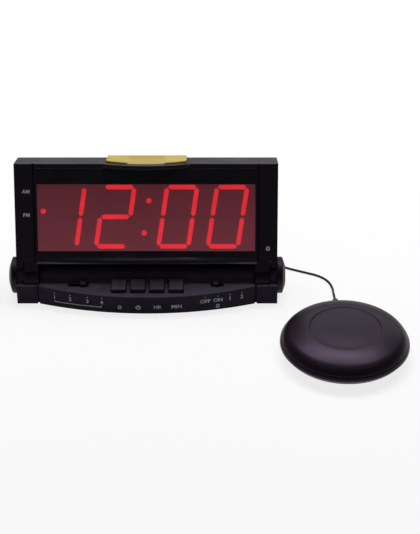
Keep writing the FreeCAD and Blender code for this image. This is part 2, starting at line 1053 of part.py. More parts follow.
def slide_switches():
    bodies = []
    top = board_top_z + slide_switch_height
    y = slot_middle_y() * math.cos(shelf_slope) + (block_top_z - top) * math.tan(shelf_slope)
    for left, right in ((mode_slot_left, mode_slot_right), (alarm_slot_left, alarm_slot_right)):
        body = box(
            left - slide_switch_end,
            right + slide_switch_end,
            y - slide_switch_depth / 2,
            y + slide_switch_depth / 2,
            board_top_z,
            top,
        )
        slot = box(
            left,
            right,
            y - slot_neck_depth / 2 - gap,
            y + slot_neck_depth / 2 + gap,
            board_top_z + cut_over,
            top + cut_over,
        )
        bodies.append(body.cut(slot))
    return Part.makeCompound(bodies)


def lamp_relay():
    return box(
        relay_x - relay_length / 2,
        relay_x + relay_length / 2,
        relay_y - relay_width / 2,
        relay_y + relay_width / 2,
        board_top_z,
        board_top_z + relay_height,
    )


# Buttons and sliders
def button(x):
    x0, x1 = x - button_width / 2, x + button_width / 2
    y0, y1 = button_front_y, button_front_y + button_depth
    cap = box(x0, x1, y0, y1, -button_skirt, button_height)
    cap = rounded(
        cap,
        button_round,
        lambda b: level(b, button_height, lambda q: q.ZMin, lambda q: q.ZMax),
    )
    lip_top = -shelf_thickness - gap
    lip = box(x0 - button_lip, x1 + button_lip, y0 - button_lip, y1 + button_lip, lip_top - button_lip_height, lip_top)
    room = box(
        x0 + button_wall,
        x1 - button_wall,
        y0 + button_wall,
        y1 - button_wall,
        -button_skirt - cut_over,
        button_height - button_wall,
    )
    stem_end = -(block_top_z - board_top_z - key_switch_height + key_well_depth) + button_travel + gap
    stem = upright(button_stem_radius, x, (y0 + y1) / 2, stem_end, button_height - button_wall / 2)
    return on_shelf(joined([joined([cap, lip]).cut(room), stem]))


def slider(x, width):
    y = slot_middle_y()
    knob = box(x - width / 2, x + width / 2, y - knob_depth / 2, y + knob_depth / 2, -slot_recess + knob_gap, knob_height)
    ribs = int(width / (2 * knob_rib))
    step = width / ribs
    grooves = []
    for i in range(ribs):
        middle = x - width / 2 + (i + 0.5) * step
        grooves.append(
            box(
                middle - knob_rib / 2,
                middle + knob_rib / 2,
                y - knob_depth / 2 - cut_over,
                y + knob_depth / 2 + cut_over,
                knob_height - knob_rib,
                knob_height + cut_over,
            )
        )
    half = slot_neck_depth / 2 - gap
    lever = box(x - width / 4, x + width / 4, y - half, y + half, -lever_length, 0)
    return on_shelf(joined([knob.cut(grooves), lever]))


# Volume wheel
def wheel_middle_x():
    return -hump_half_width - wheel_proud + wheel_radius


def volume_wheel():
    x = wheel_middle_x()
    disc = upright(wheel_radius, x, wheel_y, wheel_bottom_z, wheel_bottom_z + wheel_thickness)
    cuts = [upright(wheel_shaft_radius + shaft_gap, x, wheel_y, wheel_bottom_z - cut_over, wheel_bottom_z + wheel_thickness + cut_over)]
    for i in range(wheel_notches):
        angle = 2 * math.pi * i / wheel_notches
        notch_x = x + wheel_radius * math.cos(angle)
        notch_y = wheel_y + wheel_radius * math.sin(angle)
        points = [
            (notch_x + wheel_notch_radius * math.cos(angle + turn), notch_y + wheel_notch_radius * math.sin(angle + turn))
            for turn in (0, 2 * math.pi / 3, 4 * math.pi / 3)
        ]
        cuts.append(plan_prism(points, wheel_bottom_z - cut_over, wheel_bottom_z + wheel_thickness + cut_over))
    return disc.cut(cuts)


def wheel_post():
    """The boss and shaft that carry the volume wheel, part of the bottom cover."""
    x = wheel_middle_x()
    boss = upright(wheel_post_radius, x, wheel_y, cover_top_z - cut_over, wheel_bottom_z - gap)
    shaft = upright(wheel_shaft_radius, x, wheel_y, cover_top_z, wheel_bottom_z + wheel_thickness + gap)
    return joined([boss, shaft])


# Mains transformer
def mains_transformer_core():
    x1 = core_left_x + core_length
    y1 = core_front_y + core_stack
    top = cover_top_z + core_height
    frame = box(core_left_x, x1, core_front_y, y1, cover_top_z, top)
    middle = (cover_top_z + top) / 2
    windows = []
    for low, high in ((cover_top_z + core_yoke, middle - core_leg / 2), (middle + core_leg / 2, top - core_yoke)):
        windows.append(box(core_left_x + core_yoke, x1 - core_yoke, core_front_y - cut_over, y1 + cut_over, low, high))
    return frame.cut(windows)


def mains_transformer_coil():
    x0, x1 = core_left_x + core_yoke + coil_gap, core_left_x + core_length - core_yoke - coil_gap
    y0, y1 = core_front_y - coil_bulge, core_front_y + core_stack + coil_bulge
    low = cover_top_z + core_yoke + coil_gap
    high = cover_top_z + core_height - core_yoke - coil_gap
    middle = (low + high) / 2
    winding = box(x0, x1, y0, y1, low, high)
    winding = rounded(
        winding,
        coil_bulge / 2,
        lambda b: b.XLength > b.YLength and b.XLength > b.ZLength,
    )
    leg = core_leg / 2 + coil_gap
    hole = box(x0 - cut_over, x1 + cut_over, core_front_y - coil_gap, core_front_y + core_stack + coil_gap, middle - leg, middle + leg)
    return winding.cut(hole)


# Loudspeaker
def loudspeaker_frame():
    top = hump_top_z - base_wall
    low = top - speaker_depth
    magnet_top = low + speaker_magnet_height
    inner = speaker_cone_radius
    points = [
        (0, low),
        (speaker_magnet_radius, low),
        (speaker_magnet_radius, magnet_top),
        (inner, top - speaker_flange),
        (speaker_radius, top - speaker_flange),
        (speaker_radius, top),
        (inner, top),
        (inner, top - speaker_flange + speaker_sheet),
        (speaker_magnet_radius - speaker_sheet, magnet_top + speaker_sheet),
        (0, magnet_top + speaker_sheet),
    ]
    return spun(points, V(speaker_x, speaker_y, 0), ALONG_Z)


def loudspeaker_cone():
    top = hump_top_z - base_wall
    low = top - speaker_depth + speaker_magnet_height + speaker_sheet + gap
    hub = speaker_magnet_radius / 2
    outer = speaker_cone_radius - speaker_sheet - 2 * gap
    points = [
        (0, low),
        (hub, low),
        (outer, top - speaker_flange),
        (outer, top - speaker_flange + speaker_sheet),
        (hub, low + speaker_sheet),
        (0, low + speaker_sheet),
    ]
    return spun(points, V(speaker_x, speaker_y, 0), ALONG_Z)


# Backup battery, contacts and door
def battery_bottom_z():
    return cover_bottom_z + door_recess + gap


def battery_studs(radius, length):
    z = battery_bottom_z() + battery_height / 2
    y = battery_front_y + battery_width / 2
    x = battery_left_x
    return [
        rod(radius, V(x, y + side * battery_stud_pitch / 2, z), V(x - length, y + side * battery_stud_pitch / 2, z))
        for side in (-1, 1)
    ]


def backup_battery():
    low = battery_bottom_z()
    body = box(
        battery_left_x,
        battery_left_x + battery_length,
        battery_front_y,
        battery_front_y + battery_width,
        low,
        low + battery_height,
    )
    body = rounded(
        body,
        battery_round,
        lambda b: b.XLength > b.YLength and b.XLength > b.ZLength,
    )
    return joined([body] + battery_studs(battery_stud_radius, battery_stud_height))


def battery_contacts():
    x1 = battery_left_x - battery_stud_height
    z = battery_bottom_z() + battery_height / 2
    return box(
        x1 - contact_thickness,
        x1,
        battery_front_y + door_margin,
        battery_front_y + battery_width - door_margin,
        z - contact_height / 2,
        z + contact_height / 2,
    )


def battery_door():
    plate = box(
        door_left(),
        door_right(),
        door_front(),
        base_rear_y,
        cover_bottom_z,
        cover_bottom_z + door_thickness,
    )
    ribs = []
    middle = (door_left() + door_right()) / 2
    for i in range(door_ribs):
        y = base_rear_y - (i + 1.5) * door_rib_pitch
        ribs.append(
            box(
                middle - battery_width / 2,
                middle + battery_width / 2,
                y - door_rib_pitch / 4,
                y + door_rib_pitch / 4,
                cover_bottom_z - cut_over,
                cover_bottom_z + door_thickness / 3,
            )
        )
    return plate.cut(ribs)


# Rear wall fittings
def lamp_outlet():
    face_y = base_rear_y + outlet_flange_thickness
    flange = box(
        outlet_x - outlet_width / 2 - outlet_flange,
        outlet_x + outlet_width / 2 + outlet_flange,
        base_rear_y,
        face_y,
        outlet_z - outlet_height / 2 - outlet_flange,
        outlet_z + outlet_height / 2 + outlet_flange,
    )
    flange = rounded(flange, outlet_flange, lambda b: b.YLength > b.XLength and b.YLength > b.ZLength)
    body = box(
        outlet_x - outlet_width / 2,
        outlet_x + outlet_width / 2,
        base_rear_y - outlet_body_depth,
        base_rear_y,
        outlet_z - outlet_height / 2,
        outlet_z + outlet_height / 2,
    )
    slots = [
        box(
            outlet_x + side * outlet_blade_pitch / 2 - outlet_blade_thickness / 2,
            outlet_x + side * outlet_blade_pitch / 2 + outlet_blade_thickness / 2,
            face_y - outlet_blade_depth,
            face_y + cut_over,
            outlet_z - outlet_blade_height / 2,
            outlet_z + outlet_blade_height / 2,
        )
        for side in (-1, 1)
    ]
    return joined([flange, body]).cut(slots)


def shaker_jack():
    inside = base_rear_y - base_wall
    body = box(
        jack_x - jack_body_width / 2,
        jack_x + jack_body_width / 2,
        inside - jack_body_depth,
        inside,
        jack_z - jack_body_width / 2,
        jack_z + jack_body_width / 2,
    )
    bush = deep(jack_bush_radius, jack_x, jack_z, inside, base_rear_y + jack_nut_thickness)
    nut_points = [
        V(
            jack_x + jack_nut_radius * math.cos(i * math.pi / 3),
            base_rear_y,
            jack_z + jack_nut_radius * math.sin(i * math.pi / 3),
        )
        for i in range(6)
    ]
    nut = outline(nut_points).extrude(V(0, jack_nut_thickness, 0))
    bore_start = inside - jack_body_depth + base_wall
    bore = deep(jack_bore_radius, jack_x, jack_z, bore_start, base_rear_y + jack_nut_thickness + cut_over)
    return joined([body, bush, nut]).cut(bore)


def power_cord_gland():
    inside = base_rear_y - base_wall - gland_flange_thickness
    points = [
        (gland_bore_radius, -base_wall - gland_tail),
        (gland_body_radius - gland_flange_thickness / 2, -base_wall - gland_tail),
        (gland_body_radius, -base_wall),
        (gland_body_radius, 0),
        (gland_flange_radius, 0),
        (gland_flange_radius, gland_flange_thickness),
        (gland_body_radius, gland_flange_thickness + gland_flange_thickness / 2),
        (gland_tip_radius, gland_reach),
        (gland_bore_radius, gland_reach),
    ]
    return spun(points, V(gland_x, base_rear_y, gland_z), ALONG_Y)


# Hinge pieces
def pivot_cap(side):
    start = base_half
    rim = base_half + cap_rim
    edges = [
        line((0, start), (cap_radius, start)),
        line((cap_radius, start), (cap_radius, rim - cap_edge_round)),
        line((cap_radius, rim - cap_edge_round), (cap_radius - cap_edge_round, rim)),
        line((cap_radius - cap_edge_round, rim), (cap_flat_radius, rim + cap_dome)),
        line((cap_flat_radius, rim + cap_dome), (0, rim + cap_dome)),
        line((0, rim + cap_dome), (0, start)),
    ]
    cap = spun_wire(edges, HERE)
    hole = upright(pin_radius + shaft_gap, 0, 0, start - cut_over, start + pin_in_cap)
    cap = cap.cut(hole)
    turn = FreeCAD.Rotation(ALONG_Z, ALONG_X * side)
    cap.Placement = FreeCAD.Placement(V(0, axis_y, axis_z), turn)
    return cap


def pivot_pins():
    pins = [
        across(pin_radius, side * pin_inner, side * (base_half + pin_in_cap - gap), axis_y, axis_z)
        for side in (-1, 1)
    ]
    return Part.makeCompound(pins)


def friction_washers():
    rings = []
    for side in (-1, 1):
        x0, x1 = side * (ear_inner - washer_thickness), side * ear_inner
        ring = across(washer_radius, x0, x1, axis_y, axis_z)
        rings.append(ring.cut(across(pin_radius + shaft_gap, x0 - side * cut_over, x1 + side * cut_over, axis_y, axis_z)))
    return Part.makeCompound(rings)


# Lead through the hinge, in two halves that meet on the axis
def base_cable():
    drop = board_top_z - axis_z
    points = [
        (lead_meet_x + lead_meet_gap, 0, 0),
        (lead_base_x, 0, 0),
        (lead_base_x, 0, drop),
    ]
    solid = lead(points, lead_base_bend)
    solid.translate(V(0, axis_y, axis_z))
    return solid


def display_cable():
    points = [(lead_meet_x - lead_meet_gap, 0, 0), (lead_rise_x, 0, 0), (lead_rise_x, 0, lead_top)]
    solid = lead(points, lead_bend)
    return on_head(solid)


# Display head. Its shapes are made upright: X across, -Y forward of the hinge
# axis and Z up from it
def head_box(half, front, back, low, high):
    return box(-half, half, -front, -back, low, high)


def bar_outline(grow, z0, z1):
    """The snooze bar's plan: straight back, bowed front."""
    return bowed_plate(
        bar_half_width + grow,
        -bar_back + grow,
        -bar_end_front - grow,
        -bar_mid_front - grow,
        z0,
        z1,
    )


def bar_cuts():
    flange_bottom = head_top + bar_front_proud - bar_flange
    pocket = bar_outline(bar_gap, flange_bottom - bar_travel - gap / 3, head_top + cut_over)
    through = box(
        -bar_body_half_width - bar_gap,
        bar_body_half_width + bar_gap,
        -bar_body_front - bar_gap,
        -bar_body_back + bar_gap,
        cavity_top - cut_over,
        head_top + cut_over,
    )
    return [pocket, through]


def head_knuckle(side):
    """The arm's knuckle round the hinge pin, and the neck that carries it."""
    x0, x1 = sorted((side * knuckle_inner, side * knuckle_outer))
    barrel = across(knuckle_radius, x0, x1, 0, 0)
    neck = box(x0, x1, -neck_front, neck_back, 0, head_bottom)
    shapes = joined([barrel, neck])
    bore = across(pin_radius + shaft_gap, x0 - cut_over, x1 + cut_over, 0, 0)
    return shapes.cut(bore)


def brow():
    """The bowed ledge that carries the snooze bar's front."""
    low = head_top - head_top_wall + gap
    ledge = bowed_plate(brow_half_width, -head_front + cut_over, -head_front, -head_front - brow_depth, low, head_top)
    return ledge.makeChamfer(
        brow_chamfer,
        [e for e in ledge.Edges if level(e.BoundBox, low, lambda q: q.ZMin, lambda q: q.ZMax) and e.BoundBox.YMin < -head_front - cut_over],
    )


def head_front_frame():
    slab = box(-head_half, head_half, -head_front, -head_split, head_bottom, head_top)
    lug = box(lug_inner, head_half, -head_front, -head_split, lug_bottom, head_bottom + cut_over)
    notch = across(ear_radius + ear_notch_gap, lug_inner - cut_over, head_half + cut_over, 0, 0)
    lugs = both_sides(lug.cut(notch))
    whole = joined([slab, head_knuckle(-1), head_knuckle(1), brow()] + lugs)
    recess = box(
        -recess_half_width,
        recess_half_width,
        -head_front - cut_over,
        -ledge_front,
        head_bottom - cut_over,
        cavity_top,
    )
    recess_guard = box(-bar_half_width, bar_half_width, -head_front - brow_depth, -head_front, cavity_top, head_top)
    cavity = box(-cavity_half, cavity_half, -ledge_back, -head_split + cut_over, cavity_bottom, cavity_top)
    window = box(
        -ledge_half_width,
        ledge_half_width,
        -head_front - cut_over,
        -ledge_back + cut_over,
        window_bottom + ledge_cover,
        window_top - ledge_cover,
    )
    slit = box(bezel_half_width, recess_half_width, -head_front - cut_over, -ledge_front, cavity_top - cut_over, head_top + cut_over)
    channel = upright(lead_channel_radius, lead_rise_x, 0, 0, cavity_bottom + cut_over)
    whole = whole.cut([recess, cavity, window, channel] + both_sides(slit) + bar_cuts())
    posts = [
        deep(board_post_radius, side * board_post_x, z, -ledge_back - cut_over / 2, -display_board_front)
        for side in (-1, 1)
        for z in (board_post_low, board_post_high)
    ]
    bosses = [
        deep(head_boss_radius, side * head_boss_x, z, -ledge_back - cut_over / 2, -head_split)
        for side in (-1, 1)
        for z in (head_boss_low, head_boss_high)
    ]
    holes = [
        deep(screw_radius + shaft_gap, side * head_boss_x, z, -ledge_back + cut_over, -head_split + cut_over)
        for side in (-1, 1)
        for z in (head_boss_low, head_boss_high)
    ]
    return joined([whole] + posts + bosses).cut(holes)


def vent_cuts():
    cuts = []
    for low in (vent_low, vent_high):
        for i in range(vent_slots):
            x = (i - (vent_slots - 1) / 2) * vent_pitch
            cuts.append(
                box(
                    x - vent_width / 2,
                    x + vent_width / 2,
                    -head_back - head_wall - cut_over,
                    -head_back + cut_over,
                    low,
                    low + vent_height,
                )
            )
    return cuts


def head_rear_cover():
    slab = box(-head_half, head_half, -head_split, -head_back, head_bottom, head_top)
    slab = rounded(
        slab,
        head_back_round,
        lambda b: level(b, -head_back, lambda q: q.YMin, lambda q: q.YMax),
    )
    cavity = box(-cavity_half, cavity_half, -head_split - cut_over, -head_back - head_wall, cavity_bottom, cavity_top)
    shell = slab.cut([cavity] + bar_cuts() + vent_cuts())
    inner = -head_back - head_wall
    bosses, holes = [], []
    for side in (-1, 1):
        for z in (head_boss_low, head_boss_high):
            x = side * head_boss_x
            bosses.append(deep(head_boss_radius, x, z, -head_split, inner + cut_over / 2))
            holes.append(deep(screw_radius + shaft_gap, x, z, -head_split - cut_over, -head_back + cut_over))
            holes.append(
                deep(screw_head_radius + gap, x, z, -head_back - head_screw_sink, -head_back + cut_over)
            )
    return joined([shell] + bosses).cut(holes)


def head_screws():
    screws = []
    for side in (-1, 1):
        for z in (head_boss_low, head_boss_high):
            at = V(side * head_boss_x, -head_back - head_screw_sink + screw_head_height, z)
            screws.append(screw(at, -ALONG_Y, head_screw_length))
    return Part.makeCompound(screws)


def display_bezel():
    plate = head_box(bezel_half_width, head_front, ledge_front, bezel_bottom, cavity_top - bezel_gap)
    window = head_box(window_half_width, head_front + cut_over, ledge_front - cut_over, window_bottom, window_top)
    return plate.cut(window)


def red_filter():
    return head_box(
        window_half_width - filter_gap,
        head_front - filter_sink,
        ledge_front,
        window_bottom + filter_gap,
        window_top - filter_gap,
    )


def display_board():
    return head_box(
        display_board_half_width,
        display_board_front,
        display_board_back,
        display_board_bottom,
        display_board_top,
    )


def led_digit_block():
    low = window_bottom + ledge_cover + block_margin
    high = window_top - ledge_cover - block_margin
    return head_box(ledge_half_width - block_margin, block_front, display_board_front, low, high)


def digit_places():
    inner = colon_gap / 2
    return [-inner - digit_pitch, -inner, inner, inner + digit_pitch]


def leaned(x, z):
    """Slants a place on the display about its middle height."""
    return x + digit_slant * (z - digit_middle)


def segment(x0, z0, x1, z1):
    """One bar of a digit: a flat strip with clipped corners."""
    way = V(x1 - x0, 0, z1 - z0)
    start = V(x0, -block_front, z0) + V(way).normalize() * segment_space
    end = V(x1, -block_front, z1) - V(way).normalize() * segment_space
    along = V(way).normalize()
    over = V(along.z, 0, -along.x) * (digit_stroke / 2)
    clip = along * (digit_stroke / 2)
    points = [
        start,
        start + clip * segment_tip_share + over,
        start + clip + over,
        end - clip + over,
        end - clip * segment_tip_share + over,
        end,
        end - clip * segment_tip_share - over,
        end - clip - over,
        start + clip - over,
        start + clip * segment_tip_share - over,
    ]
    return outline(points).extrude(V(0, -segment_proud, 0))


def digit_segments(x):
    """The seven bars of one digit, by their usual letters."""
    top = digit_middle + digit_height / 2
    low = digit_middle - digit_height / 2
    half = digit_bar / 2
    places = {}
    for name, xa, za, xb, zb in (
        ("a", -half, top, half, top),
        ("b", half, top, half, digit_middle),
        ("c", half, digit_middle, half, low),
        ("d", -half, low, half, low),
        ("e", -half, low, -half, digit_middle),
        ("f", -half, digit_middle, -half, top),
        ("g", -half, digit_middle, half, digit_middle),
    ):
        places[name] = segment(leaned(x + xa, za), za, leaned(x + xb, zb), zb)
    return places


def dot(x, z):
    return deep(dot_radius, x, z, -block_front - segment_proud, -block_front)


def all_segments():
    """Lit and unlit pieces when the display reads twelve o'clock at night."""
    shown = ("bc", "abged", "abcdef", "abcdef")
    lit, unlit = [], []
    for x, letters in zip(digit_places(), shown):
        for name, shape in digit_segments(x).items():
            (lit if name in letters else unlit).append(shape)
    for side in (-1, 1):
        z = digit_middle + side * colon_half_height
        lit.append(dot(leaned(0, z), z))
    lit.append(dot(dot_x, pm_dot_height))
    unlit.append(dot(dot_x, am_dot_height))
    unlit.append(dot(alarm_dot_x, alarm_dot_height))
    return Part.makeCompound(lit), Part.makeCompound(unlit)


# Snooze bar and its switch
def snooze_bar():
    top_back = head_top + bar_back_proud
    low = head_top + bar_front_proud - bar_flange
    plate = bar_outline(0, low, top_back + cut_over)
    above = side_prism(
        [
            (-bar_mid_front - cut_over, head_top + bar_front_proud),
            (-bar_back + cut_over, top_back),
            (-bar_back + cut_over, top_back + 2 * cut_over),
            (-bar_mid_front - cut_over, top_back + 2 * cut_over),
        ],
        -bar_half_width - cut_over,
        bar_half_width + cut_over,
    )
    plate = plate.cut(above)
    rim = [e for e in plate.Edges if e.BoundBox.ZMin > head_top + bar_front_proud - cut_over / 4]
    plate = plate.makeChamfer(bar_edge, rim)
    body = box(-bar_body_half_width, bar_body_half_width, -bar_body_front, -bar_body_back, low - bar_body_depth, low)
    room = box(
        -bar_body_half_width + bar_wall,
        bar_body_half_width - bar_wall,
        -bar_body_front + bar_wall,
        -bar_body_back - bar_wall,
        low - bar_body_depth - cut_over,
        low,
    )
    stem = upright(bar_stem_radius, 0, -bar_stem_at, bar_stem_bottom, low + bar_flange / 2)
    return joined([plate, body.cut(room), stem])


def snooze_switch():
    body = box(
        -snooze_switch_half_width,
        snooze_switch_half_width,
        -display_board_back,
        -snooze_switch_back,
        snooze_switch_bottom,
        snooze_switch_top,
    )
    well = upright(snooze_well_radius, 0, -bar_stem_at, snooze_switch_top - snooze_well_depth, snooze_switch_top + cut_over)
    return body.cut(well)


# Shaker puck
def shaker_top_shell():
    half = puck_groove_width / 2
    groove_in, groove_out = puck_groove_radius - half, puck_groove_radius + half
    bottom = puck_groove_z - puck_groove_depth
    seat = puck_split_z
    edges = [
        line((puck_room_radius, seat), (puck_lap_radius, seat)),
        line((puck_lap_radius, seat), (puck_lap_radius, seat + puck_lap_height)),
        line((puck_lap_radius, seat + puck_lap_height), (puck_lap_radius + puck_lap_width, seat + puck_lap_height)),
        line((puck_lap_radius + puck_lap_width, seat + puck_lap_height), (puck_lap_radius + puck_lap_width, seat)),
        line((puck_lap_radius + puck_lap_width, seat), (puck_split_radius, seat)),
        arc(
            (puck_split_radius, seat),
            (puck_side_mid_radius, puck_side_mid_z),
            (puck_shoulder_radius, puck_shoulder_z),
        ),
        arc(
            (puck_shoulder_radius, puck_shoulder_z),
            (puck_slope_mid_radius, puck_slope_mid_z),
            (groove_out, puck_groove_z),
        ),
        line((groove_out, puck_groove_z), (groove_out, bottom)),
        line((groove_out, bottom), (groove_in, bottom)),
        line((groove_in, bottom), (groove_in, puck_groove_z)),
        line((groove_in, puck_groove_z), (puck_crown_edge, puck_crown_z)),
        line((puck_crown_edge, puck_crown_z), (puck_crown_flat, puck_top_z)),
        line((puck_crown_flat, puck_top_z), (0, puck_top_z)),
        line((0, puck_top_z), (0, puck_room_top_z)),
        line((0, puck_room_top_z), (puck_room_radius, puck_room_top_z)),
        line((puck_room_radius, puck_room_top_z), (puck_room_radius, seat)),
    ]
    shell = spun_wire(edges, HERE)
    holes = [
        upright(screw_radius + shaft_gap, x, y, puck_split_z - cut_over, puck_screw_top())
        for x, y in puck_screw_places()
    ]
    return on_puck(shell.cut(holes + [relief_room()]))


def relief_room():
    """The room for the strain relief's flange, inside the puck's wall."""
    room_end = relief_inner + relief_flange + gap
    return deep(relief_flange_radius + gap, 0, relief_z, puck_room_radius - cut_over, room_end)


def puck_screw_top():
    return puck_screw_bottom_z + screw_head_height + puck_screw_length + gap


def puck_screw_places():
    turn = 2 * math.pi / puck_screws
    return [
        (puck_screw_circle * math.cos(math.pi / 2 + (i + 0.5) * turn), puck_screw_circle * math.sin(math.pi / 2 + (i + 0.5) * turn))
        for i in range(puck_screws)
    ]


def shaker_bottom_shell():
    seat = puck_split_z - face_gap
    lap_in = puck_lap_radius + shaft_gap
    lap_out = puck_lap_radius + puck_lap_width - shaft_gap
    lap_top = seat + puck_lap_height - gap
    edges = [
        line((0, puck_bottom_z), (puck_bottom_radius, puck_bottom_z)),
        line((puck_bottom_radius, puck_bottom_z), (puck_tuck_radius, puck_tuck_z)),
        line((puck_tuck_radius, puck_tuck_z), (puck_belly_radius, puck_belly_z)),
        line((puck_belly_radius, puck_belly_z), (puck_radius, puck_rim_z)),
        arc(
            (puck_radius, puck_rim_z),
            (puck_bulge_radius, (puck_rim_z + puck_split_z) / 2),
            (puck_split_radius, seat),
        ),
        line((puck_split_radius, seat), (lap_out, seat)),
        line((lap_out, seat), (lap_out, lap_top)),
        line((lap_out, lap_top), (lap_in, lap_top)),
        line((lap_in, lap_top), (lap_in, seat)),
        line((lap_in, seat), (puck_room_radius, seat)),
        line((puck_room_radius, seat), (puck_room_radius, puck_room_bottom_z)),
        line((puck_room_radius, puck_room_bottom_z), (0, puck_room_bottom_z)),
        line((0, puck_room_bottom_z), (0, puck_bottom_z)),
    ]
    shell = spun_wire(edges, HERE)
    ring_outer = upright(foot_ring_outer + shaft_gap, 0, 0, puck_bottom_z - cut_over, puck_bottom_z + foot_ring_recess)
    ring_inner = upright(foot_ring_inner - shaft_gap, 0, 0, puck_bottom_z - cut_over, puck_bottom_z + foot_ring_recess)
    cuts = [ring_outer.cut(ring_inner)]
    cuts.append(deep(relief_radius + shaft_gap, 0, relief_z, puck_room_radius - cut_over, puck_radius + cut_over))
    cuts.append(relief_room())
    for x, y in puck_screw_places():
        cuts.append(upright(screw_radius + gap, x, y, puck_bottom_z - cut_over, puck_split_z + cut_over))
        cuts.append(upright(screw_head_radius + gap, x, y, puck_bottom_z - cut_over, puck_screw_bottom_z + screw_head_height))
    return on_puck(shell.cut(cuts))


def shaker_foot_ring():
    ring = upright(foot_ring_outer, 0, 0, 0, puck_bottom_z + foot_ring_recess)
    hole = upright(foot_ring_inner, 0, 0, -cut_over, puck_bottom_z + foot_ring_recess + cut_over)
    return on_puck(ring.cut(hole))


def shaker_screws():
    screws = [screw(V(x, y, puck_screw_bottom_z), ALONG_Z, puck_screw_length) for x, y in puck_screw_places()]
    return on_puck(Part.makeCompound(screws))


def motor_can():
    can = across(motor_radius, motor_left_x, motor_left_x + motor_length, 0, motor_z)
    nose_end = motor_left_x + motor_length + motor_nose
    nose = across(motor_nose_radius, motor_left_x + motor_length, nose_end, 0, motor_z)
    bore = across(motor_shaft_radius + shaft_gap, motor_left_x + motor_length / 2, nose_end + cut_over, 0, motor_z)
    return on_puck(joined([can, nose]).cut(bore))


def motor_clamp():
    """The saddle that holds the motor on the puck's floor."""
    x0, x1 = clamp_x, clamp_x + clamp_width
    outer = across(motor_radius + clamp_wall + shaft_gap, x0, x1, 0, motor_z)
    half = motor_radius + clamp_wall + shaft_gap
    legs = box(x0, x1, -half, half, puck_room_bottom_z, motor_z)
    feet = box(x0, x1, -half - clamp_foot, half + clamp_foot, puck_room_bottom_z, puck_room_bottom_z + clamp_foot_thickness)
    bore = across(motor_radius + shaft_gap, x0 - cut_over, x1 + cut_over, 0, motor_z)
    return on_puck(joined([outer, legs, feet]).cut(bore))


def motor_shaft():
    start = motor_left_x + motor_length / 2 + gap
    end = motor_left_x + motor_length + motor_shaft_length
    return on_puck(across(motor_shaft_radius, start, end, 0, motor_z))


def eccentric_weight():
    x1 = weight_start_x + weight_length
    disc = across(weight_radius, weight_start_x, x1, 0, motor_z)
    upper = box(weight_start_x - cut_over, x1 + cut_over, -weight_radius - cut_over, weight_radius + cut_over, motor_z, motor_z + weight_radius + cut_over)
    hub = across(weight_hub_radius, weight_start_x, x1, 0, motor_z)
    bore = across(motor_shaft_radius + shaft_gap / 5, weight_start_x - cut_over, x1 + cut_over, 0, motor_z)
    return on_puck(joined([disc.cut(upper), hub]).cut(bore))


def shaker_strain_relief():
    step = (relief_tip - puck_radius) / 4
    points = [
        (0, relief_inner),
        (relief_flange_radius, relief_inner),
        (relief_flange_radius, relief_inner + relief_flange),
        (relief_radius, relief_inner + relief_flange),
        (relief_radius, puck_radius + step),
        (relief_radius - relief_groove, puck_radius + step),
        (relief_radius - relief_groove, puck_radius + 2 * step),
        (relief_radius, puck_radius + 2 * step),
        (relief_radius, relief_tip),
        (0, relief_tip),
    ]
    return on_puck(spun(points, V(0, 0, relief_z), ALONG_Y))


# Cord, coil, tie and plug
def cord_tube(name, path, start, way, radii):
    """The cord's section carried along a path, with its measures printed."""
    section = cord_section(start, way, cord_radius)
    solid = path.makePipeShell([section], True, False)
    swept = Part.Face(section).Area * path.Length
    print(name, "length %.1f" % path.Length, "volume share %.5f" % (solid.Volume / swept), "radii", radii)
    return solid


def cord_stretch(name, route):
    path, radii = route_wire(route)
    start = V(*route[0])
    return cord_tube(name, path, start, V(*route[1]) - start, [round(r, 1) for r in radii])


def coil_path():
    """Half turns that spiral in and out again, and climb a layer where the spiral reverses."""
    at = V(coil_x + coil_outer_radius, coil_y, cord_low_z)
    stub = V(0, 2 * cord_radius, 0)
    edges = [Part.LineSegment(at - stub, at).toShape()]
    side = -1
    for k in range(coil_layers * coil_halves + 1):
        out = abs(coil_halves - k % (2 * coil_halves))
        radius = coil_inner_radius + out * coil_pitch / 2
        inside = 0 < k < coil_layers * coil_halves
        rise = coil_pitch if inside and k % coil_halves == 0 else 0
        end = at + V(2 * radius * side, 0, rise)
        middle = (at + end) / 2 + V(0, -side * radius, 0)
        edges.append(Part.Arc(at, middle, end).toShape())
        at = end
        side = -side
    edges.append(Part.LineSegment(at, at - stub).toShape())
    return edges


def least_gap(edges):
    """How near the coil's turns come to each other, measured on points."""
    rows = [edge.discretize(2 * cord_sides + 1) for edge in edges]
    least = coil_outer_radius
    for i, row in enumerate(rows):
        for other in rows[i + 2 :]:
            least = min([least] + [(a - b).Length for a in row for b in other])
    return least - 2 * cord_radius


def shaker_cord_coil():
    edges = coil_path()
    print("coil's least gap to itself %.2f" % least_gap(edges))
    start = edges[0].Vertexes[0].Point
    radii = [coil_inner_radius, coil_outer_radius]
    return cord_tube("shaker_cord_coil", Part.Wire(edges), start, ALONG_Y, radii)


def coil_tie():
    """A strap round the coil's turns at one place."""
    inner = coil_inner_radius - coil_pitch / 2 - cord_radius - tie_gap
    outer = coil_outer_radius + cord_radius + tie_gap
    low = cord_floor + tie_gap / 2
    high = coil_top_z + cord_radius + tie_gap
    t = tie_thickness
    band = box(inner - t, outer + t, -tie_width / 2, tie_width / 2, low, high + t)
    band = band.cut(box(inner, outer, -tie_width, tie_width, low - cut_over, high))
    band.rotate(HERE, ALONG_Z, tie_angle_deg)
    band.translate(V(coil_x, coil_y, 0))
    return band


def plug_start_y():
    return base_rear_y + jack_nut_thickness + gap


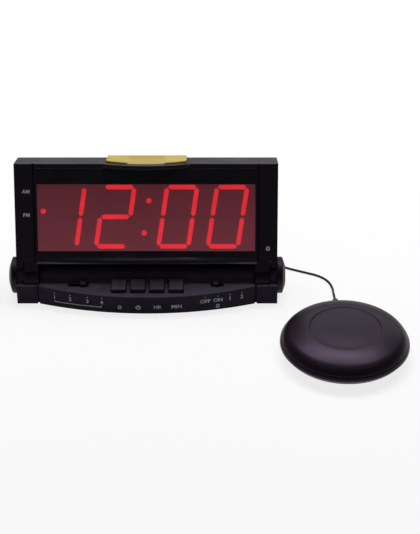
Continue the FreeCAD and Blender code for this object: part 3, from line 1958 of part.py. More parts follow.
def shaker_plug():
    start = plug_start_y()
    points = [
        (plug_pin_radius + shaft_gap, 0),
        (plug_collar_radius, 0),
        (plug_collar_radius, plug_collar),
        (plug_radius, plug_collar),
        (plug_radius, plug_collar + plug_grip),
        (plug_relief_radius, plug_collar + plug_grip + plug_relief),
        (0, plug_collar + plug_grip + plug_relief),
        (0, plug_collar + plug_grip / 2),
        (plug_pin_radius + shaft_gap, plug_collar + plug_grip / 2),
    ]
    return spun(points, V(jack_x, start, jack_z), ALONG_Y)


def plug_pin():
    start = plug_start_y()
    end = start + plug_collar + plug_grip / 2
    return deep(plug_pin_radius, jack_x, jack_z, start - plug_pin_length + plug_collar, end - shaft_gap)


def parts():
    lit, unlit = all_segments()
    buttons = button_places()
    names = ("alarm_set_button", "clock_set_button", "hour_button", "minute_button")
    made = {
        "base_housing": base_housing(),
        "base_bottom_cover": base_bottom_cover(),
        "rubber_feet": rubber_feet(),
        "base_screws": base_screws(),
        "main_circuit_board": main_circuit_board(),
        "key_switches": key_switches(),
        "slide_switches": slide_switches(),
        "lamp_relay": lamp_relay(),
        "mode_slider": slider(mode_knob_x, mode_knob_width),
        "alarm_slider": slider(alarm_knob_x, alarm_knob_width),
        "volume_wheel": volume_wheel(),
        "mains_transformer_core": mains_transformer_core(),
        "mains_transformer_coil": mains_transformer_coil(),
        "loudspeaker_frame": loudspeaker_frame(),
        "loudspeaker_cone": loudspeaker_cone(),
        "backup_battery": backup_battery(),
        "battery_contacts": battery_contacts(),
        "battery_door": battery_door(),
        "lamp_outlet": lamp_outlet(),
        "shaker_jack": shaker_jack(),
        "power_cord_gland": power_cord_gland(),
        "left_pivot_cap": pivot_cap(-1),
        "right_pivot_cap": pivot_cap(1),
        "pivot_pins": pivot_pins(),
        "friction_washers": friction_washers(),
        "base_cable": base_cable(),
        "display_cable": display_cable(),
        "head_front_frame": on_head(head_front_frame()),
        "head_rear_cover": on_head(head_rear_cover()),
        "head_screws": on_head(head_screws()),
        "display_bezel": on_head(display_bezel()),
        "red_filter": on_head(red_filter()),
        "display_board": on_head(display_board()),
        "led_digit_block": on_head(led_digit_block()),
        "lit_segments": on_head(lit),
        "unlit_segments": on_head(unlit),
        "snooze_bar": on_head(snooze_bar()),
        "snooze_switch": on_head(snooze_switch()),
        "shaker_top_shell": shaker_top_shell(),
        "shaker_bottom_shell": shaker_bottom_shell(),
        "shaker_foot_ring": shaker_foot_ring(),
        "shaker_screws": shaker_screws(),
        "motor_can": motor_can(),
        "motor_clamp": motor_clamp(),
        "motor_shaft": motor_shaft(),
        "eccentric_weight": eccentric_weight(),
        "shaker_strain_relief": shaker_strain_relief(),
        "shaker_cord": cord_stretch("shaker_cord", cord_route),
        "shaker_cord_coil": shaker_cord_coil(),
        "coil_tie": coil_tie(),
        "shaker_cord_tail": cord_stretch("shaker_cord_tail", tail_route),
        "shaker_plug": shaker_plug(),
        "plug_pin": plug_pin(),
    }
    for name, x in zip(names, buttons):
        made[name] = button(x)
    return made


def main():
    os.makedirs("parts", exist_ok=True)
    for name, shape in parts().items():
        placed = shape.copy()
        placed.translate(V(-origin_x, -origin_y, 0))
        sound = placed.isValid() and all(s.isClosed() for s in placed.Solids)
        print(name, len(placed.Solids), "solid(s)", "sound" if sound else "NOT SOUND")
        placed.exportStep(os.path.join("parts", name + ".step"))


main()
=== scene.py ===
import math

import bmesh
import bpy
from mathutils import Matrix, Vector


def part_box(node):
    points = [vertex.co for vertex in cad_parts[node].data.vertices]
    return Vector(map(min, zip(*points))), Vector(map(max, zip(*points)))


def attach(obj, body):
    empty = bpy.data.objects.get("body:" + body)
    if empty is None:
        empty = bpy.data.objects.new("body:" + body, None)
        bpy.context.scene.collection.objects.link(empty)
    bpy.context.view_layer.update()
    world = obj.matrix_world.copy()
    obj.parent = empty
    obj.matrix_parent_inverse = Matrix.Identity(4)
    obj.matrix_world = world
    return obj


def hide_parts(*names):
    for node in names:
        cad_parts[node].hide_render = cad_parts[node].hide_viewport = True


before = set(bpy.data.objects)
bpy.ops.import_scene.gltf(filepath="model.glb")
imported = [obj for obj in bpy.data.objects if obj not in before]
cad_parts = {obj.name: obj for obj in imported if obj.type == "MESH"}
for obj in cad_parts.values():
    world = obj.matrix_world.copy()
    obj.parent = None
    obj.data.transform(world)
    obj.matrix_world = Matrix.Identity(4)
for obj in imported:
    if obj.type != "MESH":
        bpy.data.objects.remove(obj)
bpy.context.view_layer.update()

# Bed shaker alarm clock: a low base with a bowed control shelf, a wide display
# head hinged on it between two round side caps, and a round shaker puck on a
# thin cord. Sizes below are millimetres from the clock's own middle, from the
# front of its end blocks and from the floor, and at() turns them to metres.

bl_info = {
    "name": "Bed Shaker Alarm Clock",
    "version": (1, 0, 0),
    "blender": (4, 5, 0),
    "location": "View3D > Sidebar > Bed Shaker",
    "description": "Dresses the clock, its display head, its shaker puck and their stage",
    "category": "Add Mesh",
}

MM = 0.001

# The base's bowed front face
BOW_HALF = 76.3
BOW_DEPTH = 12.5
BOW_RADIUS = (BOW_HALF**2 + BOW_DEPTH**2) / (2 * BOW_DEPTH)

# Where the clock's middle and the front of its end blocks are in the frame
BASE_LOW, BASE_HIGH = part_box("base_housing")
CLOCK_X = (BASE_LOW.x + BASE_HIGH.x) / 2
CLOCK_Y = BASE_LOW.y + BOW_DEPTH * MM

# The head's hinge, its lean at rest and how far its front stands from the hinge
AXIS_Y = 15.0
AXIS_Z = 15.5
HEAD_LEAN = math.radians(20)
HEAD_FRONT = 13

# The middle of the puck
PUCK_X = 135.8
PUCK_Y = -58.0

# The legends: their ink's height over the plastic, the share of the font's size
# that a capital takes, and the name of the ink
INK_PROUD = 0.05
CAPITAL_SHARE = 0.73
INK = "Ink, pad printed"

# A noise node's value keeps mostly between these two, and is stretched from them
NOISE_SPAN = {"From Min": 0.3, "From Max": 0.7}

# The camera: its place, its pitch from straight down, its sensor along the
# photograph's taller side, and its focal length in the photograph's pixels
CAMERA_PLACE = (44.5, -933, 652)
CAMERA_PITCH = math.radians(56.4)
CAMERA_SENSOR = 36
FOCAL_PIXELS = 1600
PHOTO_HEIGHT = 534

# The stage, in metres and watts. The room's glow in mirrors fades out between two
# heights over the horizon, as sines. A softbox's elevation is counted in degrees
# from the horizon behind the clock, over its head.
FLOOR_REACH = 40
ROOM_STRENGTH = 0.05
HORIZON_FULL = 0.02
HORIZON_NONE = 0.05
SOFTBOX_AWAY = 1.5
SOFTBOX_X = 0.05
SOFTBOXES = (
    {"name": "key_softbox", "elevation": 70, "width": 1.4, "depth": 0.42, "power": 22},
    {"name": "middle_softbox", "elevation": 58, "width": 0.7, "depth": 0.3, "power": 3},
    {"name": "rear_softbox", "elevation": 27, "width": 2.4, "depth": 0.3, "power": 5},
    {"name": "front_softbox", "elevation": 102, "width": 2.4, "depth": 0.3, "power": 1.5},
)

# The cord's route, as the solid model has it: from the puck round the base's
# right rear corner to the coil behind the clock, and from the coil to the plug.
# By the puck its points were moved, so that it leaves without a kink.
CORD_ROUTE = [
    (132.42, -9.62, 10.0),
    (132.05, -1.44, 9.8),
    (132.3, 8.2, 5.2),
    (133.0, 18.4, 0.95),
    (130.8, 27.6, 0.95),
    (124.2, 35.2, 0.95),
    (112.0, 40.4, 0.95),
    (98.5, 46.4, 0.95),
    (88.5, 54.8, 0.95),
    (85.0, 67.3, 0.95),
    (85.8, 80.8, 0.95),
    (83.6, 94.4, 0.95),
    (76.8, 106.2, 0.95),
    (66.2, 113.4, 0.95),
    (54.2, 117.2, 0.95),
    (45.8, 121.8, 0.95),
    (43.0, 129.0, 0.95),
    (43.0, 136.2, 0.95),
]
TAIL_ROUTE = [
    (10.0, 136.2, 7.85),
    (10.0, 131.0, 7.85),
    (10.3, 125.2, 9.6),
    (10.0, 119.4, 11.0),
    (10.0, 114.3, 11.0),
]
COIL_INNER = 5.0
COIL_PITCH = 2.3
COIL_LAYERS = 4
COIL_HALVES = 10
COIL_OUTER = COIL_INNER + COIL_HALVES * COIL_PITCH / 2
COIL_X = 10.0 + COIL_OUTER
COIL_Y = 138.0
COIL_LOW_Z = 0.95


def at(x, y, z):
    """A place in metres, from millimetres counted from the clock."""
    return Vector((CLOCK_X + x * MM, CLOCK_Y + y * MM, z * MM))


def on_head(x, forward, up):
    """A place on the leaning head, forward of the hinge axis and up from it."""
    y = AXIS_Y - forward * math.cos(HEAD_LEAN) + up * math.sin(HEAD_LEAN)
    z = AXIS_Z + forward * math.sin(HEAD_LEAN) + up * math.cos(HEAD_LEAN)
    return at(x, y, z)


def on_bow(x, z):
    """A place on the bowed front face, where the ink of the legends lies."""
    y = BOW_RADIUS - BOW_DEPTH - math.sqrt((BOW_RADIUS + INK_PROUD) ** 2 - x * x)
    return at(x, y, z)


def on_strip(x, up):
    """A place on the head's front, where the ink of the side legends lies."""
    return on_head(x, HEAD_FRONT + INK_PROUD, up)


def linear(code):
    """An sRGB hex colour as linear red, green, blue and alpha."""
    parts = [int(code[i : i + 2], 16) / 255 for i in (0, 2, 4)]
    return [c / 12.92 if c <= 0.04045 else ((c + 0.055) / 1.055) ** 2.4 for c in parts] + [1]


def add(tree, kind, inputs=(), **settings):
    """Adds a node with its settings, and values or links for its sockets."""
    made = tree.nodes.new(kind)
    for key, value in settings.items():
        setattr(made, key, value)
    for key, value in dict(inputs).items():
        if isinstance(value, bpy.types.NodeSocket):
            tree.links.new(value, made.inputs[key])
        else:
            made.inputs[key].default_value = value
    return made


def new_material(name):
    """An empty material and its node tree."""
    material = bpy.data.materials.new(name)
    material.use_nodes = True
    material.node_tree.nodes.clear()
    return material, material.node_tree


def varied(tree, place, colour, size, amount):
    """A colour that drifts a little over patches of a size in millimetres."""
    patches = add(tree, "ShaderNodeTexNoise", {"Vector": place, "Scale": 1 / (size * MM), "Detail": 2})
    dark = [c * (1 - amount) for c in colour[:3]] + [1]
    light = [min(1, c * (1 + amount)) for c in colour[:3]] + [1]
    ramp = add(tree, "ShaderNodeValToRGB", {"Fac": patches.outputs["Fac"]})
    ramp.color_ramp.elements[0].position = 0.35
    ramp.color_ramp.elements[1].position = 0.65
    ramp.color_ramp.elements[0].color = dark
    ramp.color_ramp.elements[1].color = light
    return ramp.outputs["Color"]


def grained(tree, place, grain, depth, edge):
    """A surface's normal: edges rounded by a small radius, then a fine moulded grain."""
    rounded = add(tree, "ShaderNodeBevel", {"Radius": edge * MM}, samples=6)
    grit = add(tree, "ShaderNodeTexNoise", {"Vector": place, "Scale": 1 / (grain * MM), "Detail": 3})
    height = {"Height": grit.outputs["Fac"], "Distance": depth * MM, "Strength": 1}
    height["Normal"] = rounded.outputs["Normal"]
    return add(tree, "ShaderNodeBump", height).outputs["Normal"]


def moulded(name, colour, rough, grain, depth, edge=0.35, drift=0.1, **shader):
    """A finish whose colour drifts in 9 mm patches and whose shine changes in 14 mm smears.

    The roughness goes from and to, the grain's width and depth and the radius of
    the edges are in millimetres, and the drift is a share of the colour.
    """
    material, tree = new_material(name)
    place = add(tree, "ShaderNodeTexCoord").outputs["Object"]
    smears = add(tree, "ShaderNodeTexNoise", {"Vector": place, "Scale": 1 / (14 * MM), "Detail": 4})
    shine = {"Value": smears.outputs["Fac"], **NOISE_SPAN, "To Min": rough[0], "To Max": rough[1]}
    values = {
        "Base Color": varied(tree, place, colour, 9, drift),
        "Roughness": add(tree, "ShaderNodeMapRange", shine).outputs["Result"],
        "Normal": grained(tree, place, grain, depth, edge),
        **shader,
    }
    skin = add(tree, "ShaderNodeBsdfPrincipled", values)
    add(tree, "ShaderNodeOutputMaterial", {"Surface": skin.outputs[0]})
    return material


def toned(material, other, axis, middle, full, none):
    """Turns a moulded plastic to another colour by the distance from a middle along an axis.

    At one distance in millimetres it has all of the other colour, and at the
    next none.
    """
    tree = material.node_tree
    skin = tree.nodes["Principled BSDF"]
    own = skin.inputs["Base Color"].links[0].from_socket
    place = add(tree, "ShaderNodeTexCoord").outputs["Object"]
    along = add(tree, "ShaderNodeSeparateXYZ", {"Vector": place}).outputs[axis]
    away = add(tree, "ShaderNodeMath", {0: along, 1: middle}, operation="SUBTRACT").outputs[0]
    away = add(tree, "ShaderNodeMath", {0: away}, operation="ABSOLUTE").outputs[0]
    span = {"Value": away, "From Min": full * MM, "From Max": none * MM, "To Min": 1, "To Max": 0}
    share = add(tree, "ShaderNodeMapRange", span).outputs["Result"]
    # A mix node's colours are its inputs 6 and 7 and its output 2.
    blend = {0: share, 6: own, 7: other}
    result = add(tree, "ShaderNodeMix", blend, data_type="RGBA").outputs[2]
    tree.links.new(result, skin.inputs["Base Color"])
    return material


def textured_abs(name, colour, edge, mirror):
    # ABS moulded in a spark-eroded tool: a soft wide sheen, black with a violet
    # cast, and a fine grain. The real grain is about 0.15 mm, drawn at 0.5 mm so
    # that it shows at all. The coarser the grain, the less mirror is left.
    sheen = {"Specular IOR Level": mirror, "Specular Tint": linear("F2E6FF")}
    return moulded(name, colour, rough=(0.42, 0.52), grain=0.5, depth=0.01, edge=edge, IOR=1.5, **sheen)


def shelf_abs_painted_sheen():
    # The base's ABS: a coarse dry grain that scatters light, near black as the whole
    # base is, with a painted sheen: dark grey on the shelf and its bowed front for the
    # light they catch from above, and its own near black from the hinge back.
    name = "ABS moulded, coarse grain, shelf grey"
    material = textured_abs(name, colours().shelf_painted_sheen, edge=0.7, mirror=0.04)
    return toned(material, colours().housing_black, "Y", CLOCK_Y, full=16, none=11)


def polished_abs():
    # ABS from a polished tool: the near mirror of the display surround, with
    # faint flow waves about 20 mm long and no grain.
    return moulded(
        "ABS moulded, polished",
        colours().surround_black,
        rough=(0.12, 0.18),
        grain=20,
        depth=0.02,
        edge=0.25,
        drift=0.05,
        IOR=1.5,
        **{"Specular IOR Level": 0.26},
    )


def satin_abs():
    # ABS with a finer satin for the parts that fingers touch, worn smoother in
    # patches.
    sheen = {"Specular IOR Level": 0.26, "Specular Tint": linear("F2E6FF")}
    grey = colours().button_grey
    return moulded(
        "ABS moulded, satin", grey, rough=(0.3, 0.42), grain=0.4, depth=0.008, edge=0.5, IOR=1.5, **sheen
    )


def yellow_abs():
    # ABS coloured through with a pearl pigment: a warm mustard yellow, and more
    # orange in the dish.
    material = moulded(
        "ABS moulded, yellow pearl",
        colours().bar_yellow,
        rough=(0.34, 0.44),
        grain=0.4,
        depth=0.008,
        edge=0.45,
        drift=0.06,
        IOR=1.5,
        **{"Specular IOR Level": 0.26},
    )
    return toned(material, colours().bar_dish_orange, "X", CLOCK_X, full=10.2, none=15)


def puck_abs():
    # ABS with an eggshell spray finish: smooth to the hand, so the sheen is an
    # even soft band with no sparkle, on a black that leans to violet.
    sheen = {"Specular IOR Level": 0.21, "Specular Tint": linear("EFCEFF")}
    black = colours().puck_black
    return moulded(
        "ABS moulded, eggshell spray", black, rough=(0.36, 0.4), grain=0.8, depth=0.003, IOR=1.5, **sheen
    )


def red_acrylic():
    # Cast acrylic sheet dyed red: clear enough for the lit bars, hazy enough to
    # hide the block behind it. The part that isn't let through gets a painted glow,
    # a dull rose for the bars' light scattered in the sheet, and a painted
    # reflection makes it brighter toward the lower edge.
    material, tree = new_material("Acrylic cast sheet, dyed red")
    place = add(tree, "ShaderNodeTexCoord").outputs["Object"]
    low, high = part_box("red_filter")
    up = add(tree, "ShaderNodeSeparateXYZ", {"Vector": place}).outputs["Z"]
    painted_glow = {"Value": up, "From Min": low.z, "From Max": high.z}
    painted_glow.update({"To Min": colours().painted_glow * 1.25, "To Max": colours().painted_glow * 0.65})
    # Painted glow and painted reflection: the sheet emits a rose, stronger at its lower edge
    values = {
        "Emission Color": colours().painted_glow_rose,
        "Emission Strength": add(tree, "ShaderNodeMapRange", painted_glow).outputs["Result"],
        "Base Color": varied(tree, place, colours().filter_red, 30, 0.05),
        "Roughness": 0.04,
        "IOR": 1.49,
        "Transmission Weight": 0.72,
    }
    sheet = add(tree, "ShaderNodeBsdfPrincipled", values)
    add(tree, "ShaderNodeOutputMaterial", {"Surface": sheet.outputs[0]})
    return material


def glowing_epoxy():
    # Diffusing epoxy over light emitting chips: red light that is nearly even,
    # and differs a little from bar to bar, over about 12 mm.
    material, tree = new_material("Epoxy cast, glowing red")
    place = add(tree, "ShaderNodeTexCoord").outputs["Object"]
    spots = add(tree, "ShaderNodeTexNoise", {"Vector": place, "Scale": 1 / (12 * MM), "Detail": 1})
    light = {"Value": spots.outputs["Fac"], **NOISE_SPAN}
    light.update({"To Min": colours().glow * 0.94, "To Max": colours().glow * 1.06})
    values = {
        "Base Color": linear("C02028"),
        "Roughness": 0.45,
        "IOR": 1.5,
        "Emission Color": colours().lit_red,
        "Emission Strength": add(tree, "ShaderNodeMapRange", light).outputs["Result"],
    }
    bars = add(tree, "ShaderNodeBsdfPrincipled", values)
    add(tree, "ShaderNodeOutputMaterial", {"Surface": bars.outputs[0]})
    return material


def dark_epoxy():
    # The same epoxy with no current: a milky dull rose, hardly lighter than the
    # block round it.
    rose = linear("6A5054")
    return moulded("Epoxy cast, unlit", rose, rough=(0.4, 0.5), grain=0.6, depth=0.004, edge=0.1, IOR=1.5)


def block_resin():
    # Grey face of the digit block, flat and matte, with a painted red glow that
    # stands for the wash of its own lit bars.
    return moulded(
        "Polycarbonate moulded, grey face",
        linear("6E6468"),
        rough=(0.55, 0.65),
        grain=0.6,
        depth=0.006,
        edge=0.1,
        IOR=1.5,
        **{"Emission Color": colours().wash_red, "Emission Strength": colours().wash},
    )


def soft_rubber():
    # Black rubber, moulded: a dull skin with dust caught in its pores.
    return moulded(
        "Rubber moulded, matte",
        linear("17171A"),
        rough=(0.62, 0.78),
        grain=0.6,
        depth=0.02,
        edge=0.3,
        drift=0.2,
        IOR=1.52,
    )


def cord_pvc():
    # Extruded PVC jacket: smooth and slightly waxy, with faint rings from the
    # extruder about 3 mm apart.
    return moulded(
        "PVC extruded jacket",
        colours().cord_black,
        rough=(0.42, 0.52),
        grain=3,
        depth=0.01,
        edge=0.05,
        drift=0.12,
        IOR=1.53,
        **{"Specular IOR Level": 0.2},
    )


def plug_vinyl():
    # PVC moulded over the plug: softer sheen than the cord's jacket.
    black = linear("1B1A1E")
    return moulded("PVC overmoulded", black, rough=(0.4, 0.5), grain=0.6, depth=0.01, edge=0.3, IOR=1.53)


def zinc_steel():
    # Zinc-plated steel: a cool grey with a slightly blue, cloudy shine.
    return moulded(
        "Steel, bright zinc plate",
        linear("B9BCC2"),
        rough=(0.25, 0.4),
        grain=1.5,
        depth=0.006,
        edge=0.15,
        drift=0.08,
        Metallic=1,
    )


def nickel_plate():
    # Nickel plate on brass: a warm bright mirror, rubbed along its length.
    return moulded(
        "Brass, nickel plate",
        linear("CFC9BC"),
        rough=(0.14, 0.24),
        grain=0.8,
        depth=0.003,
        edge=0.15,
        drift=0.08,
        Metallic=1,
    )


def turned_brass():
    # Turned brass: yellow metal with the fine unevenness of a lathe's cut.
    return moulded(
        "Brass, turned",
        linear("C9A553"),
        rough=(0.22, 0.32),
        grain=0.5,
        depth=0.006,
        edge=0.15,
        drift=0.08,
        Metallic=1,
    )


def soldered_copper():
    # Enamelled copper wire under yellow polyester tape: a clear gloss that
    # changes over about 6 mm, where the winding bulges under it.
    return moulded(
        "Polyester tape over copper",
        linear("C9A03A"),
        rough=(0.25, 0.4),
        grain=6,
        depth=0.08,
        edge=0.2,
        drift=0.25,
        IOR=1.6,
    )


def varnished_iron():
    # Stacked iron sheets under varnish: dark grey, uneven over the 0.5 mm that
    # one sheet is thick.
    return moulded(
        "Iron laminations, varnished",
        linear("4A4A4D"),
        rough=(0.3, 0.5),
        grain=0.5,
        depth=0.05,
        edge=0.2,
        drift=0.25,
        IOR=1.5,
    )


def green_board():
    # Glass-epoxy board under solder resist: green gloss with the copper's
    # relief just showing, patches about 5 mm wide.
    return moulded(
        "Glass epoxy, solder resist",
        linear("1E5B34"),
        rough=(0.2, 0.35),
        grain=5,
        depth=0.05,
        edge=0.1,
        drift=0.3,
        IOR=1.5,
    )


def nylon_black():
    # Black glass-filled nylon of switches, sockets and the relay's case: matte,
    # with a dry mottled skin.
    return moulded(
        "Nylon moulded, glass filled",
        linear("202023"),
        rough=(0.48, 0.62),
        grain=0.7,
        depth=0.015,
        edge=0.25,
        drift=0.2,
        IOR=1.53,
    )


def nylon_white():
    # Natural nylon of the friction washers: milky and waxy.
    return moulded(
        "Nylon moulded, natural",
        linear("DAD8CC"),
        rough=(0.35, 0.5),
        grain=0.8,
        depth=0.01,
        edge=0.2,
        drift=0.05,
        IOR=1.53,
    )


def pressed_paper():
    # Pressed paper of the loudspeaker's cone: soft black felt-like fibres.
    return moulded(
        "Paper pressed, black",
        linear("1D1C1B"),
        rough=(0.85, 0.95),
        grain=0.5,
        depth=0.06,
        edge=0.1,
        drift=0.3,
        IOR=1.4,
    )


def battery_jacket():
    # Printed steel jacket left plain: slate blue lacquer on a smooth can.
    return moulded(
        "Steel jacket, lacquered",
        linear("3C4656"),
        rough=(0.25, 0.35),
        grain=8,
        depth=0.02,
        edge=0.4,
        drift=0.08,
        IOR=1.5,
    )


def legend_ink():
    # Pad-printed ink: an off-white film with soft, slightly thin patches.
    return moulded(
        INK, colours().ink, rough=(0.5, 0.6), grain=0.6, depth=0.002, edge=0.01, drift=0.12, IOR=1.5
    )


def room_floor():
    # Seamless studio paper, matte and white. What the camera, metal and glass
    # see of it is lifted to plain white, and it keeps the object's shadow.
    material, tree = new_material("Paper, seamless white")
    place = add(tree, "ShaderNodeTexCoord").outputs["Object"]
    paper = {"Color": varied(tree, place, linear("909090"), 400, 0.01), "Roughness": 1}
    sheet = add(tree, "ShaderNodeBsdfDiffuse", paper)
    glow = add(tree, "ShaderNodeEmission", {"Color": linear("FFFFFF"), "Strength": colours().floor_lift})
    ray = add(tree, "ShaderNodeLightPath").outputs
    seen = {0: ray["Is Camera Ray"], 1: ray["Is Glossy Ray"]}
    seen = add(tree, "ShaderNodeMath", seen, operation="MAXIMUM").outputs[0]
    seen = {0: seen, 1: ray["Is Transmission Ray"]}
    seen = add(tree, "ShaderNodeMath", seen, operation="MAXIMUM").outputs[0]
    unlit = add(tree, "ShaderNodeEmission", {"Strength": 0})
    lift = add(tree, "ShaderNodeMixShader", {0: seen, 1: unlit.outputs[0], 2: glow.outputs[0]})
    both = add(tree, "ShaderNodeAddShader", {0: sheet.outputs[0], 1: lift.outputs[0]})
    add(tree, "ShaderNodeOutputMaterial", {"Surface": both.outputs[0]})
    return material


def shade(label, words, code):
    """A colour that the panel shows, from its sRGB hex value."""
    return bpy.props.FloatVectorProperty(
        name=label, description=words, default=linear(code), subtype="COLOR", size=4, min=0, max=1
    )


def strength(label, words, default, high):
    """A strength that the panel shows, from 0."""
    return bpy.props.FloatProperty(name=label, description=words, default=default, min=0, max=high)


def length(label, words, default, low, high):
    """A length in millimetres that the panel shows."""
    span = {"default": default * MM, "min": low * MM, "max": high * MM}
    return bpy.props.FloatProperty(name=label, description=words, unit="LENGTH", **span)


class ClockColours(bpy.types.PropertyGroup):
    """Colours of the clock's own finishes, and the strengths of what glows"""

    abs_black: shade("Head", "Black of the head's moulded housing", "0C0A10")
    # The shelf's grey is a painted sheen on the base's near black plastic
    shelf_painted_sheen: shade("Shelf", "Dark grey of the base's shelf and bowed front", "413D4A")
    housing_black: shade("Rear housing", "Near black of the base behind its hinge", "221F26")
    surround_black: shade("Surround", "Black of the polished display surround", "201D25")
    button_grey: shade("Buttons", "Grey of the buttons and knobs", "302E37")
    bar_yellow: shade("Snooze bar", "Yellow of the snooze bar", "AC9634")
    # The bar turns this orange in its dish
    bar_dish_orange: shade("Bar dish", "Orange of the snooze bar's dish", "A88C34")
    puck_black: shade("Puck", "Black of the shaker puck", "181118")
    filter_red: shade("Filter", "Red of the display's acrylic filter", "94424E")
    lit_red: shade("Lit bars", "Red of the lit bars and dots", "FF464F")
    # The wash's red and its strength paint a glow of the lit bars on the digit block
    wash_red: shade("Wash", "Red that the lit bars throw on their block", "A04650")
    # The filter's rose and its strength further down are a painted glow in the sheet
    painted_glow_rose: shade("Haze", "Rose that the lit bars give the filter's haze", "AC6472")
    cord_black: shade("Cord", "Black of the cord's jacket", "131316")
    ink: shade("Legends", "Off-white of the printed legends", "F2F2F8")
    glow: strength("Glow", "Strength of the lit bars", 4.15, 20)
    wash: strength("Wash strength", "Strength of the wash on the block", 0.14, 2)
    painted_glow: strength("Haze strength", "Strength of the glow in the filter's haze", 0.125, 1)
    floor_lift: strength("Floor lift", "How far floor and room are lifted to white", 0.8, 1)


class ClockSizes(bpy.types.PropertyGroup):
    """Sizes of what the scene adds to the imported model"""

    legend_height: length("Legend height", "Capital height of the base's legends", 3.1, 0.5, 5)
    side_legend_height: length("Side legend height", "Capital height of the head's legends", 2.7, 0.5, 5)
    stroke: length("Legend stroke", "Line width of the drawn legends", 0.6, 0.1, 1)
    bolder: length("Ink spread", "How far the ink of the words has spread", 0.07, 0, 0.3)
    cord_diameter: length("Cord diameter", "Diameter of the shaker's cord", 1.8, 0.5, 4)


def colours():
    """The colours and strengths that the panel holds."""
    return bpy.context.scene.clock_colours


def sizes():
    """The sizes that the panel holds."""
    return bpy.context.scene.clock_sizes


def dress(material, *names):
    """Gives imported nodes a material."""
    for name in names:
        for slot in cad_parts[name].material_slots:
            slot.material = material


def finished(made, name):
    """The mesh of what was made, which is then let go."""
    mesh = bpy.data.meshes.new(name)
    made.to_mesh(mesh)
    made.free()
    return mesh


def shown(mesh, name, material, body, smooth=True):
    """Adds a mesh as a piece that rides on a body."""
    piece = bpy.data.objects.new(name, mesh)
    bpy.context.scene.collection.objects.link(piece)
    mesh.materials.append(material)
    for face in mesh.polygons:
        face.use_smooth = smooth
    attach(piece, body)
    return piece


def lathe(name, profile, place, steps=96):
    """A closed turned form from radius and height pairs, placed by a function."""
    made = bmesh.new()
    rings = []
    for radius, height in profile:
        if radius == 0:
            rings.append([made.verts.new(place(0, 0, height))])
            continue
        ring = []
        for i in range(steps):
            angle = 2 * math.pi * i / steps
            ring.append(made.verts.new(place(radius * math.cos(angle), radius * math.sin(angle), height)))
        rings.append(ring)
    for a, b in zip(rings, rings[1:]):
        for i in range(steps):
            j = (i + 1) % steps
            corners = [a[i % len(a)], a[j % len(a)], b[j % len(b)], b[i % len(b)]]
            made.faces.new(list(dict.fromkeys(corners)))
    bmesh.ops.recalc_face_normals(made, faces=made.faces)
    return finished(made, name)


def inked(name, words, middle, low, height, where, body):
    """Words printed on a surface, centred on a place along it."""
    curve = bpy.data.curves.new(name, "FONT")
    curve.body = words
    curve.size = height / CAPITAL_SHARE
    curve.align_x = "CENTER"
    curve.resolution_u = 3
    curve.offset = sizes().bolder
    text = bpy.data.objects.new(name + "_words", curve)
    mesh = bpy.data.meshes.new_from_object(text)
    bpy.data.objects.remove(text)
    for vertex in mesh.vertices:
        vertex.co = where(middle + vertex.co.x / MM, low + vertex.co.y / MM)
    return shown(mesh, name, bpy.data.materials[INK], body, False)


def closely(corners, step=1.5):
    """A line's corners with points a short step apart between them, to follow a bowed face."""
    points = [corners[0]]
    for a, b in zip(corners, corners[1:]):
        parts = max(1, math.ceil((b - a).length / step))
        points += [a.lerp(b, i / parts) for i in range(1, parts + 1)]
    return points


def stroked(name, lines, middle, low, where, body):
    """Lines drawn on a surface as ribbons of ink, from a place on it."""
    made = bmesh.new()
    half = sizes().stroke / MM / 2
    for line in lines:
        points = closely([Vector(p) for p in line])
        last = len(points) - 1
        closed = last > 1 and (points[0] - points[-1]).length < 0.01
        sides = []
        for i, point in enumerate(points):
            before = points[-2] if closed and i == 0 else points[max(i - 1, 0)]
            after = points[1] if closed and i == last else points[min(i + 1, last)]
            way = (after - before).normalized()
            across = Vector((-way.y, way.x)) * half
            pair = [point + across, point - across]
            sides.append([made.verts.new(where(middle + p.x, low + p.y)) for p in pair])
        for a, b in zip(sides, sides[1:]):
            made.faces.new([a[0], a[1], b[1], b[0]])
    return shown(finished(made, name), name, bpy.data.materials[INK], body, False)


def round_line(x, y, radius, start=0, end=360, steps=16):
    """Points of an arc round a middle, angles in degrees."""
    angles = [math.radians(start + (end - start) * i / steps) for i in range(steps + 1)]
    return [(x + radius * math.cos(a), y + radius * math.sin(a)) for a in angles]


def arc_points(start, middle, end, steps):
    """Points of the arc through three places, without its first."""
    (ax, ay), (bx, by), (cx, cy) = start, middle, end
    area = 2 * (ax * (by - cy) + bx * (cy - ay) + cx * (ay - by))
    a, b, c = ax * ax + ay * ay, bx * bx + by * by, cx * cx + cy * cy
    ox = (a * (by - cy) + b * (cy - ay) + c * (ay - by)) / area
    oy = (a * (cx - bx) + b * (ax - cx) + c * (bx - ax)) / area
    first = math.atan2(ay - oy, ax - ox)
    last = math.atan2(cy - oy, cx - ox)
    radius = math.hypot(ax - ox, ay - oy)
    turns = [first + (last - first) * i / steps for i in range(1, steps + 1)]
    return [(ox + radius * math.cos(t), oy + radius * math.sin(t)) for t in turns]


def coil_points(steps=8):
    """The coil's turns: half turns that spiral in and out and climb where the spiral reverses."""
    points = []
    x, z, side = COIL_X + COIL_OUTER, COIL_LOW_Z, 1
    for k in range(COIL_LAYERS * COIL_HALVES + 1):
        out = abs(COIL_HALVES - k % (2 * COIL_HALVES))
        radius = COIL_INNER + out * COIL_PITCH / 2
        inside = 0 < k < COIL_LAYERS * COIL_HALVES
        rise = COIL_PITCH if inside and k % COIL_HALVES == 0 else 0
        middle = x - side * radius
        for i in range(steps):
            part = (i + 0.5) / steps
            angle = math.pi * part
            reach = side * radius / math.cos(math.pi / steps / 2)
            across = (middle + reach * math.cos(angle), COIL_Y + reach * math.sin(angle))
            points.append((*across, z + rise * part))
        x -= 2 * radius * side
        z += rise
        side = -side
    return points


